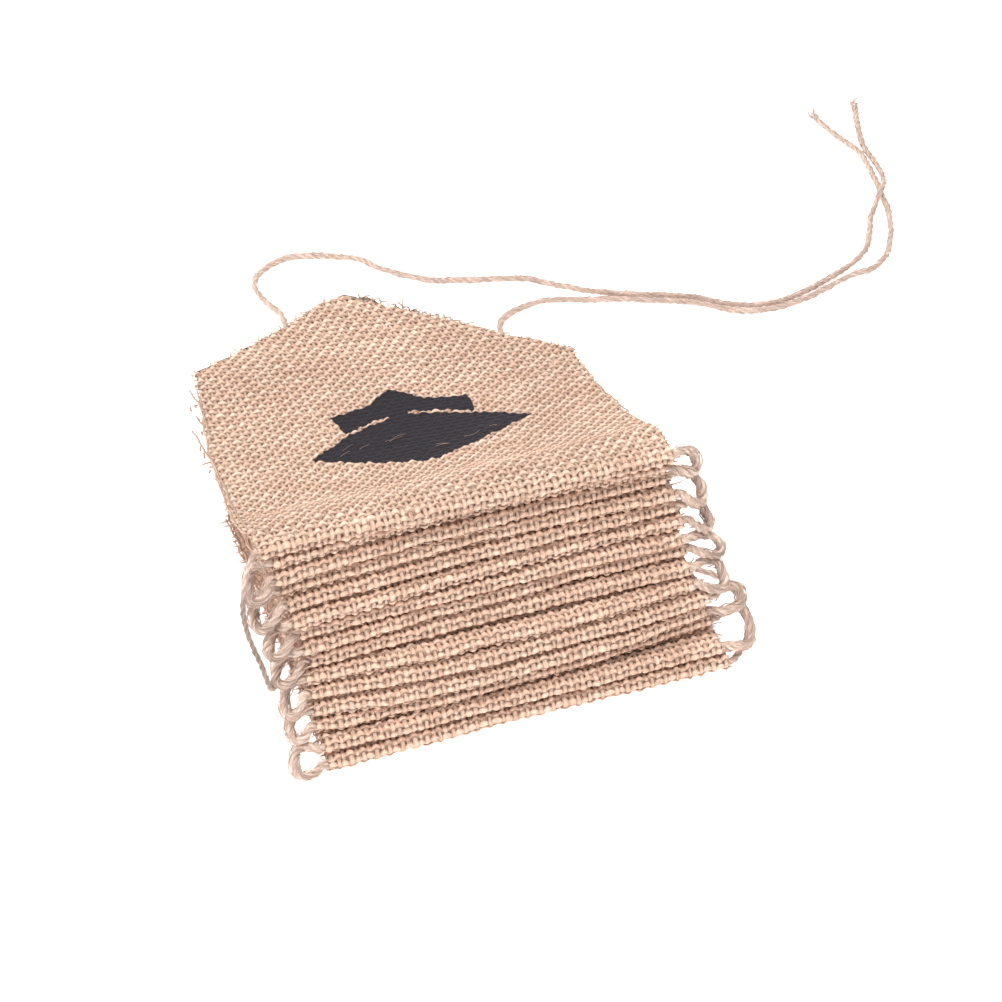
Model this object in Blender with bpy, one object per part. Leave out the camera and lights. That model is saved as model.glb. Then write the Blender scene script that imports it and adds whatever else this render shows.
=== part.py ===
"""Fabric bunting: fifteen burlap pennants on one jute twine, folded back and forth into a stack.

The pennants lie one over another on the floor, casings to the front and points to the back.
One twine runs through every casing.  It turns back in a small loop at the end of each casing,
right and left by turns, and both of its free ends trail off behind the stack.

X runs along the casings, +Y to the points and +Z up.  Tables are in millimetres.
"""
import math

import bpy
from mathutils import Vector

MM = 0.001

# One pennant, laid flat
CLOTH = 1.0             # thickness of the burlap
SIDE_LENGTH = 130.0     # casing fold to the two back corners
POINT_LENGTH = 178.0    # casing fold to the point
POINT_WIDTH = 1.6       # blunt end of the point
SEAM_FRONT = 14.5       # the flap is joined to the cloth between these two lines
SEAM_REAR = 16.5
FLAP_END = 19.0         # raw edge of the flap
FLAP_BEND = 7.0         # where the flap begins to sink behind the casing below
LAYER_GAP = 0.3         # between the flap and the cloth over it
COLUMNS = 6             # strips across a pennant

# The twine and its casing
TWINE = 2.3             # diameter
BORE = 1.48             # axis to the flats of the tunnel
BEAD = BORE + CLOTH     # axis to the flats outside
BEAD_REAR = 2.2         # the top of the bead is flat this far behind its axis
CORNER = math.cos(math.radians(22.5))
JOINT_GAP = 0.35        # between two sections of the twine
EXIT = 2.0              # straight run out of a casing

# The cloth behind the casing: how far its underside stands over the level it rests on
FACE = [  # along, lift
    (8.5, 2.5), (SEAM_FRONT, CLOTH + LAYER_GAP), (SEAM_REAR, CLOTH + LAYER_GAP),
    (FLAP_END, CLOTH + LAYER_GAP), (30.0, 0.0), (48.0, 0.0), (68.0, 0.0), (88.0, 0.0),
    (109.0, 0.0), (SIDE_LENGTH, 0.0), (147.0, 0.0), (163.0, 0.0), (POINT_LENGTH, 0.0),
]

# The pennants from the top one down.  The front line is the axis of the casing at its
# left end, its middle and its right end; swing and tip are how far the back corners and
# the point stand to the right of where they would be on a square pennant.
PENNANTS = [  # width, centre, front_left, front_mid, front_right, swing, tip
    (142.0, -0.5, -3.0, -1.4, 0.5, 1.3, -5.0),
    (136.5, -0.2, -4.1, 1.2, 0.5, -1.5, -3.0),
    (137.0, 0.0, -6.7, -1.3, 1.5, -3.0, -6.0),
    (138.0, 2.0, -6.4, -2.2, -2.0, -4.0, -5.0),
    (136.5, 2.7, -8.9, -4.7, -2.3, -7.5, -10.0),
    (138.5, 4.2, -12.9, -7.4, -4.8, -6.0, -8.0),
    (135.0, 4.5, -12.2, -9.5, -8.2, -7.0, -8.0),
    (136.0, 5.5, -15.8, -10.2, -8.0, -8.0, -11.0),
    (134.3, 6.6, -15.6, -13.6, -12.5, -9.0, -12.0),
    (137.7, 5.8, -18.6, -19.6, -15.6, -9.0, -10.0),
    (141.5, 8.7, -20.6, -23.1, -17.7, -9.0, -12.0),
    (140.4, 8.2, -23.7, -26.2, -19.1, -8.0, -11.0),
    (142.6, 9.2, -26.1, -25.5, -18.2, -5.0, -8.0),
    (142.3, 10.6, -31.6, -29.6, -27.5, -3.0, -6.0),
    (144.1, 11.6, -34.7, -31.3, -29.9, -3.0, -5.0),
]
LEVELS = len(PENNANTS)
CUT = {  # left side, right side, how much narrower each side is at the back
    1: (133.0, 119.5, 2.0),
}
TRUE_CUT = (SIDE_LENGTH, SIDE_LENGTH, 0.0)
EVEN_FROM = 48.0        # the rows of a pennant not cut true begin to slant here

# How the stack sinks to the back: height from one level to the next at its left and right
# sides, against the distance behind the front of the level.
SIDE_LEFT, SIDE_RIGHT = -71.0, 71.0
SINK = [  # back, left, right
    (0.0, 5.42, 5.42), (7.0, 5.38, 5.38), (18.0, 4.95, 4.85), (32.0, 4.4, 4.2), (60.0, 3.75, 3.1),
    (90.0, 3.2, 2.2), (120.0, 2.75, 1.6), (150.0, 2.05, 1.45), (175.0, 1.55, 1.42),
    (200.0, 1.42, 1.42),
]
FRONT_LOW = (-32.0, -27.5)    # where the lowest level begins to sink, left and right
FRONT_STEP = (2.25, 2.5)      # how much farther back each level above does

# Room that the two tucked runs of twine take between two levels
TUCK_LEFT, TUCK_RIGHT = 4, 1  # first level over the left run and over the right one
ROOM = [  # back, left, right
    (0.0, 0.0, 0.0), (25.0, 0.0, 0.0), (60.0, 0.8, 1.2), (90.0, 1.45, 2.15), (128.0, 2.3, 3.05),
    (150.0, 2.6, 3.2), (200.0, 2.6, 3.2),
]

# The loops between neighbouring casings
LOOPS = [  # upper pennant, out, drop, spread
    (1, 9.1, 3.6, 2.5), (2, 9.0, 7.5, 3.0), (3, 10.8, 5.5, 3.0), (4, 9.8, 9.0, 3.0),
    (5, 10.3, 7.0, 1.8), (6, 8.7, 9.0, 3.0), (7, 13.4, 6.0, 2.4), (8, 10.2, 8.5, 3.0),
    (9, 12.0, 3.0, 2.6), (10, 8.0, 8.5, 3.0), (11, 12.2, -0.8, 1.8), (12, 8.5, 4.0, 2.4),
    (13, 12.1, -0.5, 1.6), (14, 11.4, 1.2, 2.2),
]

# Route points of the free ends.  A height of None is halfway between the two levels that
# the twine is tucked between.
LEFT_END = [  # x, y, z
    (-77.5, -7.0, 74.0), (-80.7, -12.0, 64.5), (-80.6, -15.0, 55.8), (-79.1, -17.0, 47.0),
    (-77.0, -18.0, 38.0), (-75.6, -17.5, 29.5), (-72.5, -12.0, 21.0), (-67.5, 0.5, 17.0),
    (-61.0, 9.0, None), (-51.0, 22.0, None), (-45.0, 45.0, None), (-43.0, 72.0, None),
    (-44.5, 96.0, None), (-45.5, 112.0, None), (-43.5, 125.0, None), (-38.5, 138.0, 7.4),
    (-32.0, 152.0, 2.8), (-25.5, 168.0, 1.25), (-22.5, 186.0, 1.25), (-28.5, 203.0, 1.25),
    (-26.0, 213.0, 1.25), (-14.0, 219.5, 1.25), (0.0, 217.5, 1.25), (13.0, 212.0, 1.25),
    (22.0, 203.0, 1.25), (36.0, 192.5, 1.25), (52.0, 187.0, 1.25), (72.0, 182.0, 1.25),
    (84.0, 175.0, 1.25), (96.0, 167.5, 1.25), (114.0, 160.0, 1.25), (135.0, 152.0, 1.25),
    (145.5, 145.3, 1.25), (154.2, 141.5, 1.25), (166.0, 140.5, 1.25), (181.5, 144.4, 1.25),
    (196.2, 150.6, 1.25), (205.5, 156.0, 1.25), (212.0, 163.5, 1.25), (218.0, 176.0, 1.25),
    (223.5, 184.0, 3.4), (228.5, 190.5, 4.4), (231.6, 198.0, 3.0), (232.4, 210.0, 1.25),
    (231.9, 219.5, 1.25), (233.4, 229.0, 1.25), (236.0, 239.0, 1.25), (239.0, 249.0, 1.25),
]
RIGHT_END = [  # x, y, z
    (89.3, -26.5, 1.7), (94.5, -20.0, 1.25), (97.5, -12.0, 1.25), (98.5, -3.0, 1.25),
    (96.5, 5.5, 1.25), (93.0, 10.5, 1.6), (86.0, 15.5, None), (77.0, 27.0, None),
    (69.0, 50.0, None), (64.5, 78.0, None), (62.0, 100.0, None), (60.5, 114.0, None),
    (59.0, 126.0, 1.9), (57.5, 141.0, 1.25), (56.5, 154.0, 1.25), (59.0, 161.0, 1.25),
    (66.5, 165.0, 1.25), (78.0, 166.5, 1.25), (94.0, 162.7, 1.25), (113.0, 157.0, 1.25),
    (134.0, 149.0, 1.25), (144.3, 142.3, 1.25), (153.6, 138.3, 1.25), (166.5, 137.2, 1.25),
    (182.8, 141.2, 1.25), (197.8, 146.6, 1.25), (207.0, 147.6, 1.25), (216.0, 154.0, 1.25),
    (222.8, 166.5, 1.25), (226.5, 178.5, 1.25), (227.4, 188.0, 1.25), (228.6, 198.0, 1.25),
    (229.2, 209.0, 1.25), (228.4, 218.0, 1.25), (224.5, 226.5, 1.25), (221.0, 236.0, 1.25),
    (219.0, 247.0, 1.25),
]
STRAND_STEP = 6.0       # between points along a free end
LOOP_STEP = 3.1         # between points round a loop

CLOTH_COLOUR = (0.62, 0.43, 0.29)
TWINE_COLOUR = (0.50, 0.36, 0.25)


def along_table(table, at, column):
    """Value of a column of the table, smoothly between its rows."""
    if at <= table[0][0]:
        return table[0][column]
    for i in range(len(table) - 1):
        a, b = table[i], table[i + 1]
        if at <= b[0]:
            before = table[max(i - 1, 0)]
            after = table[min(i + 2, len(table) - 1)]
            span = b[0] - a[0]
            t = (at - a[0]) / span
            m0 = (b[column] - before[column]) / (b[0] - before[0]) * span
            m1 = (after[column] - a[column]) / (after[0] - a[0]) * span
            return ((2 * t ** 3 - 3 * t ** 2 + 1) * a[column] + (t ** 3 - 2 * t ** 2 + t) * m0
                    + (3 * t ** 2 - 2 * t ** 3) * b[column] + (t ** 3 - t ** 2) * m1)
    return table[-1][column]


def across(x):
    return min(max((x - SIDE_LEFT) / (SIDE_RIGHT - SIDE_LEFT), 0.0), 1.0)


def underside(level, x, y):
    """Height of the surface that a level rests on; level 0 is on the floor."""
    u = across(x)
    low = FRONT_LOW[0] + (FRONT_LOW[1] - FRONT_LOW[0]) * u
    step = FRONT_STEP[0] + (FRONT_STEP[1] - FRONT_STEP[0]) * u
    back = y - low - step * level
    height = level * (along_table(SINK, back, 1) * (1 - u) + along_table(SINK, back, 2) * u)
    if level >= TUCK_LEFT:
        height += along_table(ROOM, back, 1) * (1 - u)
    if level >= TUCK_RIGHT:
        height += along_table(ROOM, back, 2) * u * u
    return height


def steepness(level, x, y):
    """Vertical height for one unit square to the surface."""
    rise_x = (underside(level, x + 1, y) - underside(level, x - 1, y)) / 2
    rise_y = (underside(level, x, y + 1) - underside(level, x, y - 1)) / 2
    return math.sqrt(1 + rise_x ** 2 + rise_y ** 2)


def front_line(pennant, x):
    """Distance back of the casing's axis, a parabola through its three given points."""
    width, centre, left, mid, right = pennant[:5]
    t = (x - centre) / (width / 2)
    return mid + (right - left) / 2 * t + ((right + left) / 2 - mid) * t * t


def casing_axis(number, share):
    """Point on the axis of a casing; share is -1 at its left end and 1 at its right."""
    pennant = PENNANTS[number - 1]
    x = pennant[1] + share * pennant[0] / 2
    y = front_line(pennant, x)
    return Vector((x, y, underside(LEVELS - number, x, y) + BEAD))


def corner_along(number, share):
    """Distance from the casing fold to the line between the two back corners."""
    left, right = CUT.get(number, TRUE_CUT)[:2]
    return left + (right - left) * (share + 1) / 2


def row_along(along, corner):
    """A row of the face table, slid along so that the row at the corners meets them."""
    if along <= EVEN_FROM:
        return along
    if along <= SIDE_LENGTH:
        return EVEN_FROM + (along - EVEN_FROM) * (corner - EVEN_FROM) / (SIDE_LENGTH - EVEN_FROM)
    return corner + (along - SIDE_LENGTH) * (POINT_LENGTH - corner) / (POINT_LENGTH - SIDE_LENGTH)


def half_width(number, along, corner):
    taper = CUT.get(number, TRUE_CUT)[2]
    if along <= corner:
        return PENNANTS[number - 1][0] / 2 - taper * along / corner
    left = (POINT_LENGTH - along) / (POINT_LENGTH - corner)
    return POINT_WIDTH / 2 + (PENNANTS[number - 1][0] / 2 - taper - POINT_WIDTH / 2) * left


def sideways(pennant, along):
    swing, tip = pennant[5], pennant[6]
    if along <= SIDE_LENGTH:
        return swing * along / SIDE_LENGTH
    return swing + (tip - swing) * (along - SIDE_LENGTH) / (POINT_LENGTH - SIDE_LENGTH)


def strip_section(number, share):
    """Outer and inner points of one lengthwise section, from the flap's edge to the point."""
    pennant = PENNANTS[number - 1]
    level = LEVELS - number
    axis = casing_axis(number, share)
    floor = axis.z - BEAD
    outer, inner = [], []
    for along in (FLAP_END, SEAM_REAR, SEAM_FRONT, FLAP_BEND):
        x, y = axis.x, axis.y + along
        z, stand = underside(level, x, y), steepness(level, x, y)
        outer.append((x, y, z))
        inner.append((x, y, z + CLOTH * stand))
    for turn in (247.5, 202.5, 157.5, 112.5):
        c, s = math.cos(math.radians(turn)) / CORNER, math.sin(math.radians(turn)) / CORNER
        outer.append((axis.x, axis.y + BEAD * c, floor + BEAD + BEAD * s))
        inner.append((axis.x, axis.y + BORE * c, floor + BEAD + BORE * s))
    outer.append((axis.x, axis.y + BEAD_REAR, floor + 2 * BEAD))
    inner.append((axis.x, axis.y + BEAD_REAR, floor + BEAD + BORE))
    y, last, corner = axis.y, 0.0, corner_along(number, share)
    for place, lift in FACE:
        along = row_along(place, corner)
        x = pennant[1] + share * half_width(number, along, corner) + sideways(pennant, along)
        slope = (underside(level, x, y + 4) - underside(level, x, y)) / 4
        y += (along - last) / math.sqrt(1 + slope * slope) if along > FLAP_END else along - last
        last = along
        z, stand = underside(level, x, y), steepness(level, x, y)
        inner.append((x, y, z + lift * stand))
        outer.append((x, y, z + (lift + CLOTH) * stand))
    return outer, inner


def pennant_solid(number):
    """Corners and faces of one pennant: a cloth folded over into a casing and joined there."""
    sections = [strip_section(number, 1 - 2 * i / COLUMNS) for i in range(COLUMNS + 1)]
    count = len(sections[0][0])
    verts = [p for outer, inner in sections for p in outer + inner]

    def out(i, j):
        return i * 2 * count + j

    def inn(i, j):
        return i * 2 * count + count + j

    flap_seam = 1                  # from here to the next point the flap is joined ...
    face_seam = 4 + 5 + 1          # ... to the cloth from here to the next
    faces = []
    for i in range(COLUMNS):
        for j in range(count - 1):
            faces.append((out(i, j), out(i, j + 1), out(i + 1, j + 1), out(i + 1, j)))
            if j not in (flap_seam, face_seam):
                faces.append((inn(i, j + 1), inn(i, j), inn(i + 1, j), inn(i + 1, j + 1)))
        faces.append((inn(i, face_seam), inn(i + 1, face_seam),
                      inn(i + 1, flap_seam + 1), inn(i, flap_seam + 1)))
        faces.append((inn(i, flap_seam), inn(i + 1, flap_seam),
                      inn(i + 1, face_seam + 1), inn(i, face_seam + 1)))
        for j, turned in ((0, False), (count - 1, True)):
            ring = (out(i, j), out(i + 1, j), inn(i + 1, j), inn(i, j))
            faces.append(ring[::-1] if turned else ring)
    for i, turned in ((0, False), (COLUMNS, True)):
        for j in range(count - 1):
            ring = (out(i, j), inn(i, j), inn(i, j + 1), out(i, j + 1))
            faces.append(ring[::-1] if turned else ring)
        ring = (inn(i, flap_seam), inn(i, face_seam + 1), inn(i, face_seam), inn(i, flap_seam + 1))
        faces.append(ring[::-1] if turned else ring)
    return verts, faces


def smooth_route(points, step):
    """Points about a step apart on a smooth curve through the given ones."""
    ends = [points[0] * 2 - points[1]] + points + [points[-1] * 2 - points[-2]]
    fine = [points[0]]
    for i in range(len(points) - 1):
        a, b, c, d = ends[i:i + 4]
        for n in range(1, 17):
            t = n / 16
            fine.append(((b * 2) + (c - a) * t + (a * 2 - b * 5 + c * 4 - d) * t ** 2
                         + (b * 3 - a - c * 3 + d) * t ** 3) / 2)
    lengths = [0.0]
    for a, b in zip(fine, fine[1:]):
        lengths.append(lengths[-1] + (b - a).length)
    parts = max(2, round(lengths[-1] / step))
    route, at = [], 0
    for n in range(parts + 1):
        want = lengths[-1] * n / parts
        while at < len(fine) - 2 and lengths[at + 1] < want:
            at += 1
        span = lengths[at + 1] - lengths[at]
        route.append(fine[at].lerp(fine[at + 1], (want - lengths[at]) / span if span else 0.0))
    return route


def half_run(number, side):
    """The twine inside half a casing, from the joint at its middle out to its end."""
    steps = COLUMNS // 2
    run = [casing_axis(number, side * n / steps) for n in range(steps + 1)]
    return [run[0].lerp(run[1], JOINT_GAP / 2 / (run[1] - run[0]).length)] + run[1:]


def loop_route(upper, out, drop, spread):
    """The twine from the middle of one casing, round the loop, to the middle of the next."""
    side = 1 if upper % 2 else -1
    first, second = half_run(upper, side), half_run(upper + 1, side)
    start, finish = first[-1], second[-1]
    reach = max(side * start.x, side * finish.x) + out
    mid = (start + finish) / 2
    lead = Vector((side * EXIT, 0, 0))

    def beside(end, share, aside):
        return Vector((end.x + (side * reach - end.x) * share, end.y + aside, end.z - drop * share ** 1.3))

    bend = smooth_route([start + lead, beside(start, 0.5, spread), beside(start, 0.86, spread * 0.8),
                         Vector((side * reach, mid.y, mid.z - drop)),
                         beside(finish, 0.86, -spread * 0.8), beside(finish, 0.5, -spread),
                         finish + lead], LOOP_STEP)
    return first + bend + second[::-1]


def end_route(number, side, table, level):
    """A free end: out of the middle of its casing and through its route points."""
    run = half_run(number, side)
    points = [run[-1], run[-1] + Vector((side * EXIT, 0, 0))]
    for x, y, z in table:
        if z is None:
            below = underside(level - 1, x, y) + CLOTH * steepness(level - 1, x, y)
            z = (below + underside(level, x, y)) / 2
        points.append(Vector((x, y, z)))
    return run + smooth_route(points[1:], STRAND_STEP)


def paint(name, colour, roughness):
    material = bpy.data.materials.new(name)
    material.use_nodes = True
    shader = material.node_tree.nodes["Principled BSDF"]
    shader.inputs["Base Color"].default_value = (*colour, 1)
    shader.inputs["Roughness"].default_value = roughness
    return material


def add_cloth(name, verts, faces, origin, collection):
    mesh = bpy.data.meshes.new(name)
    mesh.from_pydata([(Vector(v) - origin) * MM for v in verts], [], faces)
    mesh.materials.append(paint(name, CLOTH_COLOUR, 0.95))
    collection.objects.link(bpy.data.objects.new(name, mesh))


def add_twine(name, route, origin, collection):
    curve = bpy.data.curves.new(name, "CURVE")
    curve.dimensions = "3D"
    curve.bevel_depth = TWINE / 2 * MM
    curve.bevel_resolution = 2
    curve.render_resolution_u = 0
    curve.use_fill_caps = True
    spline = curve.splines.new("POLY")
    spline.points.add(len(route) - 1)
    for point, place in zip(spline.points, route):
        point.co = (*((place - origin) * MM), 1)
    curve.materials.append(paint(name, TWINE_COLOUR, 0.9))
    collection.objects.link(bpy.data.objects.new(name, curve))


def build():
    for name in ("Cube", "Light", "Camera"):
        if name in bpy.data.objects:
            bpy.data.objects.remove(bpy.data.objects[name])
    bunting = bpy.data.collections.new("fabric_bunting")
    bpy.context.scene.collection.children.link(bunting)

    solids = [pennant_solid(number) for number in range(1, LEVELS + 1)]
    xs = [v[0] for verts, _ in solids for v in verts]
    ys = [v[1] for verts, _ in solids for v in verts]
    origin = Vector(((min(xs) + max(xs)) / 2, (min(ys) + max(ys)) / 2, 0))

    for number, (verts, faces) in enumerate(solids, 1):
        add_cloth(f"pennant_{number:02d}", verts, faces, origin, bunting)
    for upper, out, drop, spread in LOOPS:
        add_twine(f"twine_loop_{upper:02d}", loop_route(upper, out, drop, spread), origin, bunting)
    add_twine("twine_end_left", end_route(1, -1, LEFT_END, TUCK_LEFT), origin, bunting)
    add_twine("twine_end_right", end_route(LEVELS, 1, RIGHT_END, TUCK_RIGHT), origin, bunting)


build()
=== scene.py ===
"""Looks of the fabric bunting: woven burlap, raw edges, a printed cap, twisted twine and loose fibres.

Sizes are in millimetres until a piece is made.  The tables from LIFT to RIGHT_END are those of the
solids, apart from the edges in CUT, TUCKED and BULGE, so each cloth and each run of twine lies
where its solid does.
"""
import functools
import math

import bpy
import numpy as np
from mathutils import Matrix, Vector


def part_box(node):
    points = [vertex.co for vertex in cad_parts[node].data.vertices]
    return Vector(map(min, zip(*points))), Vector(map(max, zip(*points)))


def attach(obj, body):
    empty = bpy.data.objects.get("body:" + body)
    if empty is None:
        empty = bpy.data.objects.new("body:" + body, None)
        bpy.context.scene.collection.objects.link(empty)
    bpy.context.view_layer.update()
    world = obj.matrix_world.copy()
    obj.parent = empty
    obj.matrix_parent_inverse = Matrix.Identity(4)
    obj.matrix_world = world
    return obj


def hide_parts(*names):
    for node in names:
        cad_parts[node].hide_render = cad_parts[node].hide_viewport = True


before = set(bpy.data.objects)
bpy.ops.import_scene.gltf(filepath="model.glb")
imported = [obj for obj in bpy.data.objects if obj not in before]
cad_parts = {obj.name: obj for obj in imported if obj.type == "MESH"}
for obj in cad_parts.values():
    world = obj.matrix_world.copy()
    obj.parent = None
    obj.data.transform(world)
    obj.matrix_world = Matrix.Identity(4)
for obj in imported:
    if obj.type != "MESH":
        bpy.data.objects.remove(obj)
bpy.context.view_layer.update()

MM = 0.001
FULL_TURN = 2 * math.pi

# One pennant, laid flat
CLOTH = 1.0  # thickness of the solid
SIDE_LENGTH = 130.0  # casing fold to the two back corners
POINT_LENGTH = 178.0  # casing fold to the point
FLAP_END = 19.0  # raw edge of the flap
BORE = 1.48  # axis to the wall of the tunnel
BEAD = BORE + CLOTH  # axis to the outside
JOINT_GAP = 0.35  # between two sections of the twine
EXIT = 2.0  # straight run out of a casing
COLUMNS = 6  # strips across a solid pennant

LIFT = [  # along, underside of the cloth over the level it rests on
    (0.0, 3.96), (2.2, 3.96), (8.5, 2.5), (14.5, 1.3), (19.0, 1.3), (30.0, 0.0), (60.0, 0.0),
]

PENNANTS = [  # width, centre, front_left, front_mid, front_right, swing, tip
    (142.0, -0.5, -3.0, -1.4, 0.5, 1.3, -5.0),
    (136.5, -0.2, -4.1, 1.2, 0.5, -1.5, -3.0),
    (137.0, 0.0, -6.7, -1.3, 1.5, -3.0, -6.0),
    (138.0, 2.0, -6.4, -2.2, -2.0, -4.0, -5.0),
    (136.5, 2.7, -8.9, -4.7, -2.3, -7.5, -10.0),
    (138.5, 4.2, -12.9, -7.4, -4.8, -6.0, -8.0),
    (135.0, 4.5, -12.2, -9.5, -8.2, -7.0, -8.0),
    (136.0, 5.5, -15.8, -10.2, -8.0, -8.0, -11.0),
    (134.3, 6.6, -15.6, -13.6, -12.5, -9.0, -12.0),
    (137.7, 5.8, -18.6, -19.6, -15.6, -9.0, -10.0),
    (141.5, 8.7, -20.6, -23.1, -17.7, -9.0, -12.0),
    (140.4, 8.2, -23.7, -26.2, -19.1, -8.0, -11.0),
    (142.6, 9.2, -26.1, -25.5, -18.2, -5.0, -8.0),
    (142.3, 10.6, -31.6, -29.6, -27.5, -3.0, -6.0),
    (144.1, 11.6, -34.7, -31.3, -29.9, -3.0, -5.0),
]
LEVELS = len(PENNANTS)
CUT = {  # left side, right side, how much narrower each side is at the back
    1: (133.0, 119.5, 2.0), 2: (130.0, 121.0, 1.5), 3: (130.0, 120.5, 1.5), 4: (130.0, 121.0, 1.5),
    5: (130.0, 122.0, 0.5), 6: (130.0, 122.0, 1.0), 7: (130.0, 126.0, 0.5), 8: (130.0, 126.0, 0.5),
}
TRUE_CUT = (SIDE_LENGTH, SIDE_LENGTH, 0.0)
TUCKED = [  # first and last pennant, from there back, how much farther in its left edge lies
    (2, 9, 104.0, 5.0),
    (10, 13, 92.0, 5.0),
]
TUCK_EASE = 4.0  # along it, until it is that far in
BULGE = [  # along the top pennant, how far its left edge bulges out
    (-12.0, 0.0), (0.0, 1.2), (14.0, 4.2), (85.0, 3.9), (108.0, 1.4), (126.0, 0.0),
]
EXTRA_WARPS = 2  # for that

SIDE_LEFT, SIDE_RIGHT = -71.0, 71.0
SINK = [  # back, left, right
    (0.0, 5.42, 5.42), (7.0, 5.38, 5.38), (18.0, 4.95, 4.85), (32.0, 4.4, 4.2), (60.0, 3.75, 3.1),
    (90.0, 3.2, 2.2), (120.0, 2.75, 1.6), (150.0, 2.05, 1.45), (175.0, 1.55, 1.42),
    (200.0, 1.42, 1.42),
]
FRONT_LOW = (-32.0, -27.5)
FRONT_STEP = (2.25, 2.5)
TUCK_LEFT, TUCK_RIGHT = 4, 1
ROOM = [  # back, left, right
    (0.0, 0.0, 0.0), (25.0, 0.0, 0.0), (60.0, 0.8, 1.2), (90.0, 1.45, 2.15), (128.0, 2.3, 3.05),
    (150.0, 2.6, 3.2), (200.0, 2.6, 3.2),
]

LOOPS = [  # upper pennant, out, drop, spread
    (1, 9.1, 3.6, 2.5), (2, 9.0, 7.5, 3.0), (3, 10.8, 5.5, 3.0), (4, 9.8, 9.0, 3.0),
    (5, 10.3, 7.0, 1.8), (6, 8.7, 9.0, 3.0), (7, 13.4, 6.0, 2.4), (8, 10.2, 8.5, 3.0),
    (9, 12.0, 3.0, 2.6), (10, 8.0, 8.5, 3.0), (11, 12.2, -0.8, 1.8), (12, 8.5, 4.0, 2.4),
    (13, 12.1, -0.5, 1.6), (14, 11.4, 1.2, 2.2),
]
LEFT_END = [  # x, y, z; without z it lies under the cloth of level TUCK_LEFT
    (-77.5, -7.0, 74.0), (-80.7, -12.0, 64.5), (-80.6, -15.0, 55.8), (-79.1, -17.0, 47.0),
    (-77.0, -18.0, 38.0), (-75.6, -17.5, 29.5), (-72.5, -12.0, 21.0), (-67.5, 0.5, 17.0),
    (-61.0, 9.0, None), (-51.0, 22.0, None), (-45.0, 45.0, None), (-43.0, 72.0, None),
    (-44.5, 96.0, None), (-45.5, 112.0, None), (-43.5, 125.0, None), (-38.5, 138.0, 7.4),
    (-32.0, 152.0, 2.8), (-25.5, 168.0, 1.25), (-22.5, 186.0, 1.25), (-28.5, 203.0, 1.25),
    (-26.0, 213.0, 1.25), (-14.0, 219.5, 1.25), (0.0, 217.5, 1.25), (13.0, 212.0, 1.25),
    (22.0, 203.0, 1.25), (36.0, 192.5, 1.25), (52.0, 187.0, 1.25), (72.0, 182.0, 1.25),
    (84.0, 175.0, 1.25), (96.0, 167.5, 1.25), (114.0, 160.0, 1.25), (135.0, 152.0, 1.25),
    (145.5, 145.3, 1.25), (154.2, 141.5, 1.25), (166.0, 140.5, 1.25), (181.5, 144.4, 1.25),
    (196.2, 150.6, 1.25), (205.5, 156.0, 1.25), (212.0, 163.5, 1.25), (218.0, 176.0, 1.25),
    (223.5, 184.0, 3.4), (228.5, 190.5, 4.4), (231.6, 198.0, 3.0), (232.4, 210.0, 1.25),
    (231.9, 219.5, 1.25), (233.4, 229.0, 1.25), (236.0, 239.0, 1.25), (239.0, 249.0, 1.25),
]
RIGHT_END = [  # x, y, z; without z it lies under the cloth of level TUCK_RIGHT
    (89.3, -26.5, 1.7), (94.5, -20.0, 1.25), (97.5, -12.0, 1.25), (98.5, -3.0, 1.25),
    (96.5, 5.5, 1.25), (93.0, 10.5, 1.6), (86.0, 15.5, None), (77.0, 27.0, None),
    (69.0, 50.0, None), (64.5, 78.0, None), (62.0, 100.0, None), (60.5, 114.0, None),
    (59.0, 126.0, 1.9), (57.5, 141.0, 1.25), (56.5, 154.0, 1.25), (59.0, 161.0, 1.25),
    (66.5, 165.0, 1.25), (78.0, 166.5, 1.25), (94.0, 162.7, 1.25), (113.0, 157.0, 1.25),
    (134.0, 149.0, 1.25), (144.3, 142.3, 1.25), (153.6, 138.3, 1.25), (166.5, 137.2, 1.25),
    (182.8, 141.2, 1.25), (197.8, 146.6, 1.25), (207.0, 147.6, 1.25), (216.0, 154.0, 1.25),
    (222.8, 166.5, 1.25), (226.5, 178.5, 1.25), (227.4, 188.0, 1.25), (228.6, 198.0, 1.25),
    (229.2, 209.0, 1.25), (228.4, 218.0, 1.25), (224.5, 226.5, 1.25), (221.0, 236.0, 1.25),
    (219.0, 247.0, 1.25),
]
STRAND_STEP = 6.0  # between the points of a free end's path
LOOP_STEP = 3.1  # and of a loop's

# The tables' x and y are measured from the top pennant's front.  The frame's origin is
# found from where the lowest pennant lies in both.
LOW_WIDTH, LOW_CENTRE, LOW_FRONT = PENNANTS[-1][:3]
low_corner, high_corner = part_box(f"pennant_{LEVELS:02d}")
ORIGIN = np.array((LOW_CENTRE + LOW_WIDTH / 2 - high_corner[0] / MM,
                   LOW_FRONT - BEAD - low_corner[1] / MM, 0.0))
FLOOR_CLEAR = 0.02  # nothing lies lower

# The weave: thread 0, 1, 2 ... across is a warp thread, and along the cloth a weft thread
WARP_PITCH, WEFT_PITCH = 2.25, 2.7
WARP_HALF, WEFT_HALF = 0.76, 1.16  # half width of a thread
WARP_THICK, WEFT_THICK = 0.45, 0.58  # half its thickness
WARP_CRIMP, WEFT_CRIMP = 0.08, 0.46  # how far a thread rises and sinks
WEFT_OVER = 0.12  # the weft's middle over the warp's
PIT = -0.42  # floor of the holes between the threads
SINK_IN = 0.24  # the weave's middle under the cloth's own
WANDER = 0.5  # how far a thread strays sideways
CALM_EDGE, CALM_LEAST = 3.0, 0.2  # over this width to the raw edge, down to this share
SWAY = 0.24  # how far the weft swings between two warps
FOLD_REACH = 6.0  # the threads look stretched this far round the fold
CASING_THIN = 0.27  # share by which the weft looks thinner there
CASING_WIDE = 0.22  # share by which the warp looks wider there, pressed flat
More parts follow.
